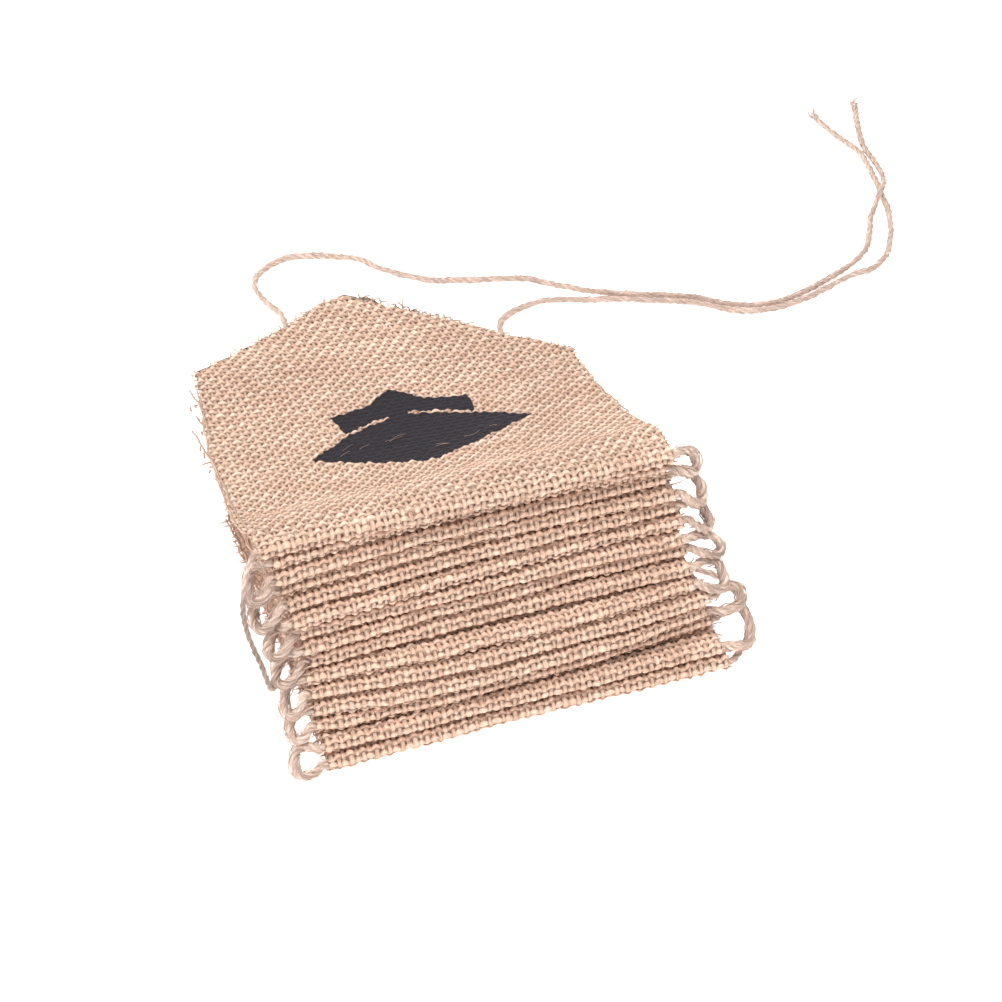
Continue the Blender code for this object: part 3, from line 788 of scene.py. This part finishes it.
class Twine:
    """One section of the twine: its line, the ways out from it, and the part that shows."""

    def __init__(self, before, shown, after, seed):
        self.seed = seed
        self.is_end = after is None
        parts = [smooth_route(before, HIDDEN_STEP)[:-1], smooth_route(shown, FINE_STEP)]
        if not self.is_end:
            parts.append(smooth_route(after, HIDDEN_STEP)[1:])
        self.line = np.vstack(parts)
        self.seen = len(parts[0]) + np.arange(len(parts[1]))
        self.run = runs(self.line)
        self.tangents, self.normals = carried_frames(self.line)
        self.sides_on = np.cross(self.tangents, self.normals)
        self.shaken = self.line + np.stack([self.noise(k, 6.0) * SHAKE for k in range(3)], -1)

    def noise(self, kind, length):
        return smooth_noise(self.seed + kind, self.run / length)

    def thickness(self):
        """Its thickness over the usual, at each point."""
        thick = 1 + 0.11 * self.noise(4, 7.0) + 0.05 * self.noise(5, 2.0)
        if self.is_end:
            thick = thick + 0.22 * np.clip(self.noise(9, 19.0), 0, 1)
        share = np.full(len(self.run), HIDDEN_THICK)
        share[self.seen] = 1.0 if self.is_end else LOOP_SLACK
        return thick * share


def add_plies(tubes, twine, narrowing):
    """The plies, wound round each other.  One stretch of them is thinner and darker."""
    run, first = twine.run, twine.run[twine.seen[0]]
    darkening = (np.clip((first + narrowing - run) / DARKENED_OUT, 0, 1)
             * np.clip((run - first - DARKENED_FROM) / DARKENED_IN, 0, 1))
    thick = twine.thickness() * (1 - DARKENED_THIN * darkening)
    twist = run / TWIST * FULL_TURN + twine.noise(3, 15.0) * 1.2
    splay, thin = np.zeros_like(run), 1.0
    if twine.is_end:
        splay = np.clip((run - run[-1] + SPLAY) / SPLAY, 0, 1) ** 2 * SPLAY_OUT
        thin = np.clip((run[-1] - run) / 8.0 + 0.35, 0, 1)
    for ply in range(PLIES):
        phase = (twist + FULL_TURN * ply / PLIES)[:, None]
        radial = np.cos(phase) * twine.normals + np.sin(phase) * twine.sides_on
        path = twine.shaken + radial * (PLY_OFFSET * thick + splay)[:, None]
        radius = PLY_RADIUS * thick * thin * (1 + 0.08 * twine.noise(6 + ply, 3.0))
        tubes.add(path[None], radius[None], PLY_SIDES, 1.0 + ply, darkening, radial[None])


def add_strands(tubes, twine, rng, count):
    """Strands of fibre that have worked loose and wind slowly round a loop."""
    share = np.linspace(0, 1, 16)
    to_tips = (2 * share - 1) ** 6
    first, last = twine.run[twine.seen[[0, -1]]]
    long = rng.uniform(0.25, 0.75, count) * (last - first)
    start = first + rng.uniform(0, 1, count) * (last - first - long)
    place = start[:, None] + long[:, None] * share
    turn = rng.uniform(0, FULL_TURN, (count, 1))
    turn = turn + place / rng.uniform(14, 30, (count, 1)) * FULL_TURN
    away = rng.uniform(1.35, 2.1, (count, 1))
    away = away + 0.45 * smooth_noise(int(start[0]), place / 5.0, turn[:, :1]) + 0.5 * to_tips
    line, normals, sides_on = (at_places(place, twine.run, values)
                               for values in (twine.shaken, twine.normals, twine.sides_on))
    paths = line + away[..., None] * (np.cos(turn)[..., None] * normals
                                      + np.sin(turn)[..., None] * sides_on)
    radii = rng.uniform(0.13, 0.27, (count, 1)) * (1 - 0.8 * to_tips)
    tubes.add(paths, radii, 4, (np.arange(count) * 1.7)[:, None])


def add_fuzz(tubes, twine, rng):
    """Hairs that stand off the twine and lean along it."""
    shown = len(twine.seen) * FINE_STEP
    at = rng.choice(twine.seen, int(shown * HAIRS_PER_MM * (END_HAIRS if twine.is_end else 1.0)))
    if twine.is_end:
        at = np.concatenate((at, rng.choice(twine.seen[-16:], TIP_HAIRS)))
    each = (len(at), 1)
    turn = rng.uniform(0, FULL_TURN, each)
    out = np.cos(turn) * twine.normals[at] + np.sin(turn) * twine.sides_on[at]
    lean = rng.choice((-1.0, 1.0), each) * twine.tangents[at]
    long = rng.uniform(1.2, 6.0, each)
    high = rng.uniform(0.25, 1.0, each) * np.minimum(long * 0.6, 1.7)
    curl = rng.normal(0, 0.25, (len(at), 3))
    share = np.array((0.0, 0.4, 0.75, 1.0))[:, None]
    paths = ((twine.shaken[at] + out)[:, None] + (out * high)[:, None] * share ** 0.8
             + (lean * long)[:, None] * share * 0.9 + curl[:, None] * share ** 2 * 0.8)
    apart = np.linalg.norm(paths[:, 1:, None] - twine.line[None, None], axis=3).min(2).max(1)
    paths = paths[apart < HAIR_REACH]
    tubes.add(paths, np.broadcast_to(HAIR_RADII, paths.shape[:2]), 3, 3.0)


def make_section(name, before, shown, after, step, seed, material, narrowing=0.0, strands=0):
    """One section of the twine: its look, in place of its solid, which is hidden."""
    rng, tubes = np.random.default_rng(seed), Tubes()
    twine = Twine(before, [before[-1]] + shown + (after or [])[:1], after, seed)
    add_plies(tubes, twine, narrowing)
    if strands:
        add_strands(tubes, twine, rng, strands)
    add_fuzz(tubes, twine, rng)
    look = tubes.piece(name)
    look.data.materials.append(material)
    path = (np.vstack([*before, smooth_route(shown, step), *(after or [])]) - ORIGIN) * MM
    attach(look, "root")
    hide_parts(f"twine_{name}")


def make_twine():
    """The sixteen sections of the twine."""
    end_jute = jute_material("jute twine", END_DARK, END_PALE)
    # a lighter copy of the twine's colours for the loops: painted light against their shade
    lit_loop_jute = jute_material("jute twine in the loops, painted lighter", LIT_LOOP_DARK, LIT_LOOP_PALE)
    for upper, out, drop, spread in LOOPS:
        make_section(f"loop_{upper:02d}", *loop_route(upper, out, drop, spread), LOOP_STEP,
                     300 + upper, lit_loop_jute, strands=STRANDS + MORE_STRANDS.get(upper, 0))
    make_section("end_left", *end_route(1, -1, LEFT_END, TUCK_LEFT), STRAND_STEP, 319, end_jute,
                 narrowing=DARKENED_LEFT)
    make_section("end_right", *end_route(LEVELS, 1, RIGHT_END, TUCK_RIGHT), STRAND_STEP, 321, end_jute)


# ---------------- raw edges and loose fibres

def surface_at(lattice, across, along):
    """Points of the cloth's middle, and the ways across, on and out from them."""
    a, w = np.ravel(across), np.ravel(along) + QUARTER
    point, aside, ahead = (
        cloth_middle(lattice.number, a + more_a, w + more_w).reshape(*np.shape(across), 3)
        for more_a, more_w in ((0, 0), (0.5, 0), (0, 0.5)))
    way_a, way_w = unit(aside - point), unit(ahead - point)
    return point, (way_a, way_w, unit(np.cross(way_a, way_w)))


def cut_threads(lattice):
    """Where the threads are cut: across and along, and whether each end points across or on."""
    arcs = lattice.arc(thread_places(lattice.weft(-4.0), lattice.weft(QUARTER + TIP_TO - 2), (0.0,)))
    warps = lattice.across(np.arange(lattice.warps))
    ends = []
    for side, sign in ((0, -1.0), (1, 1.0)):
        ends += [(across, arc - QUARTER, sign, 0.0)
                 for across, arc in zip(lattice.half_width(arcs, side) * sign, arcs)]
        ends += [(across, POINT_LENGTH - abs(across) / lattice.slope(side), 0.0, 1.0)
                 for across in warps[warps * sign > 6]]
    return np.array(ends)


def end_lengths(rng, lattice, across, along):
    """How far each cut thread sticks out."""
    slanting = along > SIDE_LENGTH
    long = np.minimum(0.35 + rng.exponential(np.where(slanting, 1.0, 0.7)), END_LONGEST)
    if lattice.is_top:
        left, right = 0.8 + rng.exponential(0.8, len(long)), 0.4 + rng.exponential(0.8, len(long))
        comb = np.minimum(np.where(across < 0, left, right), SLANT_LONGEST)
        return np.where(slanting, comb, long)
    long = long * 1.25
    frayed = (across < 0) & (lattice.number > FRAYED_BELOW) & ~slanting
    return np.where(frayed, np.minimum(long * 1.4 + 0.3, 3.0), long)


def thread_ends(rng, lattice):
    """Short ends of the cut threads along both sides and both slanting edges."""
    ends = cut_threads(lattice)
    across, along, out_a, out_w = ends[rng.random(len(ends)) < ENDS_KEPT].T
    base, (way_a, way_w, way_out) = surface_at(lattice, across, np.minimum(along, TIP_TO - 1))
    long = end_lengths(rng, lattice, across, along)[:, None]
    each = (len(across), 1)
    ahead = (out_a[:, None] + rng.normal(0, 0.2, each)) * way_a
    ahead = unit(ahead + (out_w[:, None] + rng.normal(0, 0.2, each)) * way_w)
    bend = rng.normal(0, 0.28, each) * way_out + rng.normal(0, 0.25, each) * (way_a + way_w)
    share = np.array((-0.5, 0.0, 0.55, 1.0))[:, None]
    root = base + way_out * rng.uniform(-0.15, 0.35, each)
    paths = root[:, None] + (ahead * long)[:, None] * np.maximum(share, 0)
    paths = paths + (bend * long)[:, None] * share ** 2
    paths[:, 0] = root - ahead * 1.2
    return paths, rng.uniform(0.3, 0.48, each) * (1.0, 1.0, 0.8, 0.3), 4


def edge_yarns(rng, lattice):
    """Threads that have come loose beside the raw sides and lie along them."""
    paths, radii = [], []
    for side in (-1, 1):
        for n in range(2):
            along = np.linspace(rng.uniform(4, 40), rng.uniform(80, SIDE_LENGTH - 2), 34)
            waver = smooth_noise(17 * lattice.number + side + 3 * n, along / 11.0)
            stray = -0.2 + 0.7 * n + 0.45 * waver
            across = side * (lattice.half_width(along + QUARTER, (side + 1) // 2) + stray)
            base, ways = surface_at(lattice, across, along)
            lift = 0.15 + 0.25 * smooth_noise(19 * lattice.number + side + 5 * n, along / 5.0)
            paths.append(base + ways[2] * lift[:, None])
            radii.append(np.full(len(along), rng.uniform(0.26, 0.42)))
    return np.array(paths), np.array(radii), 5


def loose_yarns(lattice):
    """Threads that have come away from the left edge of the top pennant."""
    paths = []
    share = np.linspace(0, 1, 30)
    for table in LOOSE_YARNS:
        knots = np.linspace(0, 1, len(table))
        out, along = (np.interp(share, knots, column) for column in zip(*table))
        base, ways = surface_at(lattice, -lattice.half_width(along + QUARTER, 0) - out, along)
        paths.append(base + ways[2] * 0.55)
    radii = np.broadcast_to(YARN_RADIUS - 0.12 * (share < 0.1), (len(paths), len(share)))
    return np.array(paths), radii, 5, 0.55


def corner_tuft(rng, lattice):
    """Frayed threads at the back right corner of the top pennant."""
    each = (TUFT_THREADS, 1)
    corner = lattice.cut[1]
    share = np.linspace(0, 1, 6)
    start = rng.uniform(-6.5, 0.3, each)
    along = corner - rng.uniform(0, 4, each) + share * rng.uniform(1.5, 6.0, each)
    curl = rng.normal(0, 1.3, each) * share ** 2
    across = lattice.half_width(corner - 1 + QUARTER, 1) + start + curl
    base, ways = surface_at(lattice, across, along)
    lift = 0.4 + rng.uniform(0, 1.6, each) * share ** 2
    return base + ways[2] * lift[..., None], rng.uniform(0.1, 0.24, each) * (1 - 0.5 * share), 4


def hairs_on(rng, lattice, count, low, high, longest):
    """Fine fibres that stand off the cloth between two lines along it, but not on the print."""
    along = rng.uniform(low, high, count)
    across = rng.uniform(-1, 1, count) * (lattice.half_width(along + QUARTER, 1) - 0.5)
    if lattice.is_top:
        bare = cap_print(across, along) < -1.5
        across, along = across[bare], along[bare]
    base, (way_a, way_w, way_out) = surface_at(lattice, across, along)
    each = (len(across), 1)
    long = rng.uniform(0.3, 1.0, each) ** 1.5 * longest
    turn = rng.normal(0, 0.9, each) + rng.choice((0, math.pi), each)
    ahead = np.cos(turn) * way_a + np.sin(turn) * way_w
    up = rng.uniform(0.15, 0.75, each)
    swerve = np.cross(ahead, way_out) * rng.normal(0, 0.35, each)
    share = np.array((0.0, 0.3, 0.65, 1.0))[:, None]
    paths = (base + way_out * 0.35)[:, None] + (long * ahead)[:, None] * share * 0.85
    paths = paths + (long * up * way_out)[:, None] * (share - 0.45 * share ** 2)
    paths = paths + (long * swerve)[:, None] * share ** 2
    return paths, rng.uniform(0.055, 0.1, each) * (1.0, 1.0, 0.8, 0.4), 3


def fibres_on_print(rng, lattice, count):
    """Pale fibres that lie across the print."""
    turn = rng.uniform(-0.5, 1.1, count)[:, None]
    long = rng.uniform(2.5, 8.0, count)[:, None]
    share = np.linspace(-0.5, 0.5, 8)
    u = rng.uniform(-30, 28, count)[:, None]
    v = BOARD_CENTRE[1] + rng.uniform(-11, 11, count)[:, None] * (1 - np.abs(u) / 45)
    bend = rng.normal(0, 0.16, count)[:, None]
    across = u + long * share * np.cos(turn)
    along = v + long * (share * np.sin(turn) + bend * (4 * share ** 2))
    base, ways = surface_at(lattice, across, along)
    radii = np.broadcast_to(rng.uniform(0.06, 0.1, (count, 1)), across.shape)
    return base + ways[2] * 0.62, radii, 4, 0.8


def make_frays(lattice):
    """The raw edges and loose fibres of one pennant, in one piece."""
    rng = np.random.default_rng(4000 + lattice.number)
    groups = [thread_ends(rng, lattice), edge_yarns(rng, lattice), hairs_on(rng, lattice, *FRONT_HAIRS)]
    if lattice.is_top:
        groups += [hairs_on(rng, lattice, *FACE_HAIRS), fibres_on_print(rng, lattice, PRINT_FIBRES),
                   loose_yarns(lattice), corner_tuft(rng, lattice)]
    tubes = Tubes()
    for kind, (paths, radii, sides, *darkening) in enumerate(groups):
        tubes.add(paths, radii, sides, (np.arange(len(paths)) % 17 + kind)[:, None], *darkening)
    return tubes.piece(f"fray_{lattice.number:02d}")


# ---------------- materials

class Value:
    """A value in a shader.  Sums and products with it add the nodes for them."""

    def __init__(self, nodes, socket):
        self.nodes = nodes
        self.socket = socket

    def __add__(self, other):
        return self.nodes.math("ADD", self, other)

    def __sub__(self, other):
        return self.nodes.math("SUBTRACT", self, other)

    def __rsub__(self, other):
        return self.nodes.math("SUBTRACT", other, self)

    def __mul__(self, other):
        return self.nodes.math("MULTIPLY", self, other)


class Nodes:
    """Short ways to join shader nodes."""

    def __init__(self, name):
        self.material = bpy.data.materials.new(name)
        self.material.use_nodes = True
        self.tree = self.material.node_tree
        self.shader = self.tree.nodes["Principled BSDF"]

    def put(self, socket, value):
        if isinstance(value, Value):
            self.tree.links.new(value.socket, socket)
        elif socket.type == "RGBA":
            socket.default_value = (*value, 1.0)
        else:
            socket.default_value = value

    def node(self, kind, inputs, output=0, **settings):
        """The output of a new node; inputs are by their number or name."""
        node = self.tree.nodes.new("ShaderNode" + kind)
        for key, value in settings.items():
            setattr(node, key, value)
        for key, value in inputs.items():
            self.put(node.inputs[key], value)
        return Value(self, node.outputs[output])

    def math(self, operation, *values):
        return self.node("Math", dict(enumerate(values)), operation=operation)

    def cos(self, value):
        return self.math("COSINE", value)

    def step(self, value, low, high, to_low=0.0, to_high=1.0):
        return self.node("MapRange", dict(enumerate((value, low, high, to_low, to_high))),
                         interpolation_type="SMOOTHSTEP")

    def mix(self, share, first, second):
        return self.node("Mix", {0: share, 6: first, 7: second}, 2, data_type="RGBA")

    def bright(self, colour, factor):
        return self.node("VectorMath", {0: colour, "Scale": factor}, operation="SCALE")

    def noise(self, x, y, z, scale=1.0, detail=2.0):
        place = self.node("CombineXYZ", {0: x, 1: y, 2: z})
        return self.node("TexNoise", {"Vector": place, "Scale": scale, "Detail": detail})

    def share(self, name):
        """An attribute of one number."""
        return self.node("Attribute", {}, "Fac", attribute_name=name)

    def three(self, name):
        """An attribute of three numbers."""
        node = self.node("Attribute", {}, "Vector", attribute_name=name)
        return [self.node("SeparateXYZ", {0: node}, k) for k in range(3)]

    def bump(self, height, strength, distance):
        inputs = {"Height": height, "Strength": strength, "Distance": distance}
        self.put(self.shader.inputs["Normal"], self.node("Bump", inputs))

    def finish(self, colour, roughness, specular=0.25):
        self.put(self.shader.inputs["Base Color"], colour)
        self.put(self.shader.inputs["Roughness"], roughness)
        self.put(self.shader.inputs["Specular IOR Level"], specular)
        return self.material


def yarn_height(n, out, thick, wave):
    """Height of a round yarn where out is the share of its half width, and its own roundness."""
    crest = n.math("MAXIMUM", 1.0 - out * out, 0.0)
    return n.math("SQRT", crest) * thick + wave + n.math("GREATER_THAN", out, 1.0) * -2.0, crest


def ink_mask(n, fibre, rise):
    """Where the ink is: inside the cap, uneven at its edge, and worn off a few fibres."""
    mask = n.step(n.share("print") + (fibre - 0.5) * 0.6, -0.15, 0.15)
    return mask * (1.0 - n.step(fibre + rise * -0.1, 0.76, 0.84))


def burlap_material(name, printed):
    """Jute yarn in plain weave; the attribute threads holds the thread numbers s and t, and
    whether the cloth has the weave in relief there."""
    n = Nodes(name)
    s, t, relief = n.three("threads")
    i, j = n.math("ROUND", s), n.math("ROUND", t)
    weft_wave = n.cos(s * math.pi) * n.cos(j * math.pi)
    warp_wave = n.cos(t * math.pi) * n.cos(i * math.pi)
    near = n.step(n.math("ABSOLUTE", t), 4.0, 1.5)      # 1 on the fold, 0 four threads away
    weft_narrow = n.step(near, 0.0, 1.0, 1 / WEFT_HALF, 1.13 / WEFT_HALF) * WEFT_PITCH
    warp_narrow = n.step(near, 0.0, 1.0, 1 / WARP_HALF, 0.83 / WARP_HALF) * WARP_PITCH
    weft_out = n.math("ABSOLUTE", t - j) * weft_narrow
    warp_out = n.math("ABSOLUTE", s - i) * warp_narrow
    weft, weft_crest = yarn_height(n, weft_out, WEFT_THICK, weft_wave * WEFT_CRIMP + WEFT_OVER)
    warp, warp_crest = yarn_height(n, warp_out, WARP_THICK, warp_wave * -WARP_CRIMP)
    rise = n.math("MAXIMUM", n.math("MAXIMUM", weft, warp), PIT)
    on_weft = n.step(weft - warp, -0.05, 0.05)
    on_warp = 1.0 - on_weft

    fibre = (n.noise(s * 1.8, t * 7.0, 0.0, detail=3.0) * on_weft
             + n.noise(s * 6.0, t * 2.0, 7.0, detail=3.0) * on_warp)
    tone = (n.noise(s * 0.11, j * 3.7, 3.0, detail=1.0) * on_weft
            + n.noise(i * 3.7, t * 0.11, 9.0, detail=1.0) * on_warp)
    crest = weft_crest * on_weft + warp_crest * on_warp
    top_of_float = weft_wave * on_weft - warp_wave * on_warp
    patch = n.noise(s * 0.05, t * 0.06, 2.0)

    # painted shade: brown in the pits, between the yarns and down each yarn's sides away from its crest;
    # the yarn's own colour, paler, on the crests and the floats
    depth = n.step(rise, PIT, 0.7) * n.step(crest, 0.0, 0.9, 0.36, 1.03)
    # where the cloth is plain, without relief, at most a tenth of that painted shade
    depth = n.math("MAXIMUM", depth, n.step(relief, 0.98, 0.7, 0.0, 0.9))
    colour = n.mix(depth, SHADE_BROWN, n.mix(n.step(tone, 0.35, 0.68), TAN, PALE))
    # light scales the colour: first by the jute's own tone in its fibres and patches, then by painted
    # highlight and shade below
    light = n.step(fibre, 0.3, 0.7, 0.74, 1.16) * n.step(patch, 0.3, 0.7, 0.94, 1.05)
    # painted highlight on the middle of each float, painted shade where it dives under
    light = light * n.step(top_of_float, -0.5, 0.95, 0.84, 1.06)
    # painted shade on the warps, which lie lower than the weft, except near the fold
    light = light * n.step(n.math("MAXIMUM", on_weft, near), 0.0, 1.0, 0.86, 1.02)
    colour = n.bright(colour, light)
    rough = 0.95
    if printed:
        mask = ink_mask(n, fibre, rise)
        colour = n.mix(mask, colour, INK)
        rough = 0.95 - mask * 0.3
    n.bump(fibre * 0.25 + rise * 0.6, 0.9, 0.0007)
    return n.finish(colour, rough)


def jute_material(name, dark, pale):
    """Twisted fibres; threads holds the run along a ply, the turn round it and the kind."""
    n = Nodes(name)
    run, turn, kind = n.three("threads")
    lay = turn + run * 0.9
    fibre = n.noise(n.cos(lay) * 1.6, n.math("SINE", lay) * 1.6, run * 0.3, 1.6, 3.0)
    tone = n.noise(run * 0.09, kind * 3.3, 0.0)
    colour = n.mix(n.step(fibre, 0.34, 0.66), dark, pale)
    colour = n.bright(colour, n.step(tone, 0.3, 0.7, 0.86, 1.1))
    colour = n.bright(colour, n.step(n.share("darkening"), 0.0, 1.0, 1.0, 0.6))
    n.bump(fibre, 0.8, 0.0005)
    return n.finish(colour, 0.92)


# ---------------- stage

def add_camera():
    """The photograph's view: a long lens, from the left in front and well above."""
    data = bpy.data.cameras.new("camera")
    data.sensor_width = 36.0
    data.lens = CAMERA_LENS
    data.clip_end = 20.0
    camera = bpy.data.objects.new("camera", data)
    camera.location = ((CAMERA_PLACE - ORIGIN) * MM).tolist()
    camera.rotation_euler = (CAMERA_TILT, 0, CAMERA_TURN)
    bpy.context.scene.collection.objects.link(camera)
    bpy.context.scene.camera = camera


def add_floor():
    """White paper that glows a little, as it shows in the photograph."""
    h = FLOOR_HALF
    mesh = bpy.data.meshes.new("floor")
    mesh.from_pydata([(-h, -h, 0), (h, -h, 0), (h, h, 0), (-h, h, 0)], [], [(0, 1, 2, 3)])
    n = Nodes("white paper")
    n.put(n.shader.inputs["Emission Color"], (1.0, 1.0, 1.0))
    n.put(n.shader.inputs["Emission Strength"], FLOOR_GLOW)
    mesh.materials.append(n.finish(PAPER, 1.0, 0.0))
    floor = bpy.data.objects.new("floor", mesh)
    bpy.context.scene.collection.objects.link(floor)


def add_area_light(name, place, aim, size, energy, colour):
    data = bpy.data.lights.new(name, "AREA")
    data.shape = "DISK"
    data.size = size
    data.energy = energy
    data.color = colour
    light = bpy.data.objects.new(name, data)
    light.location = place
    light.rotation_euler = (Vector(aim) - Vector(place)).to_track_quat("-Z", "Y").to_euler()
    bpy.context.scene.collection.objects.link(light)


def add_light():
    """Soft daylight all round, a large lamp above and a weak one from the left."""
    world = bpy.data.worlds.new("studio")
    world.use_nodes = True
    background = world.node_tree.nodes["Background"]
    background.inputs["Color"].default_value = (*WORLD_COLOUR, 1.0)
    background.inputs["Strength"].default_value = WORLD_LIGHT
    bpy.context.scene.world = world
    add_area_light("key", **KEY_LIGHT)
    add_area_light("fill", **FILL_LIGHT)
    bpy.context.scene.view_settings.view_transform = "Standard"


# ---------------- making it

def remove_defaults():
    for name in ("Cube", "Light", "Camera"):
        if name in bpy.data.objects:
            bpy.data.objects.remove(bpy.data.objects[name])


def make_pennant(number, cloth_look, yarn_look):
    """The cloth of one pennant and its frays."""
    lattice = Lattice(number)
    cloth, fray = make_cloth(lattice), make_frays(lattice)
    cloth.data.materials.append(cloth_look)
    fray.data.materials.append(yarn_look)
    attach(cloth, "root")
    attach(fray, "root")
    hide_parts(f"pennant_{number:02d}")
    return cloth, fray, lattice.width


def state_sheets(pennants):
    """Works out each pennant's flat size and the piece that it rests on."""
    length = FLAP_END + 2 * QUARTER + POINT_LENGTH
    for n, (cloth, fray, width) in enumerate(pennants, 1):
        below = [piece.name for piece, _, _ in pennants[n:n + 1]]
        area = width * (length - POINT_LENGTH + SIDE_LENGTH) + width / 2 * (POINT_LENGTH - SIDE_LENGTH)
        width * MM
        length * MM
        area * MM * MM


def make_pennants():
    yarn = jute_material("loose yarn", YARN_DARK, YARN_PALE)
    burlap = burlap_material("burlap", False)
    printed = burlap_material("printed burlap", True)
    state_sheets([make_pennant(number, printed if number == 1 else burlap, yarn)
                  for number in range(1, LEVELS + 1)])


remove_defaults()
add_camera()
make_twine()
make_pennants()
add_floor()
add_light()
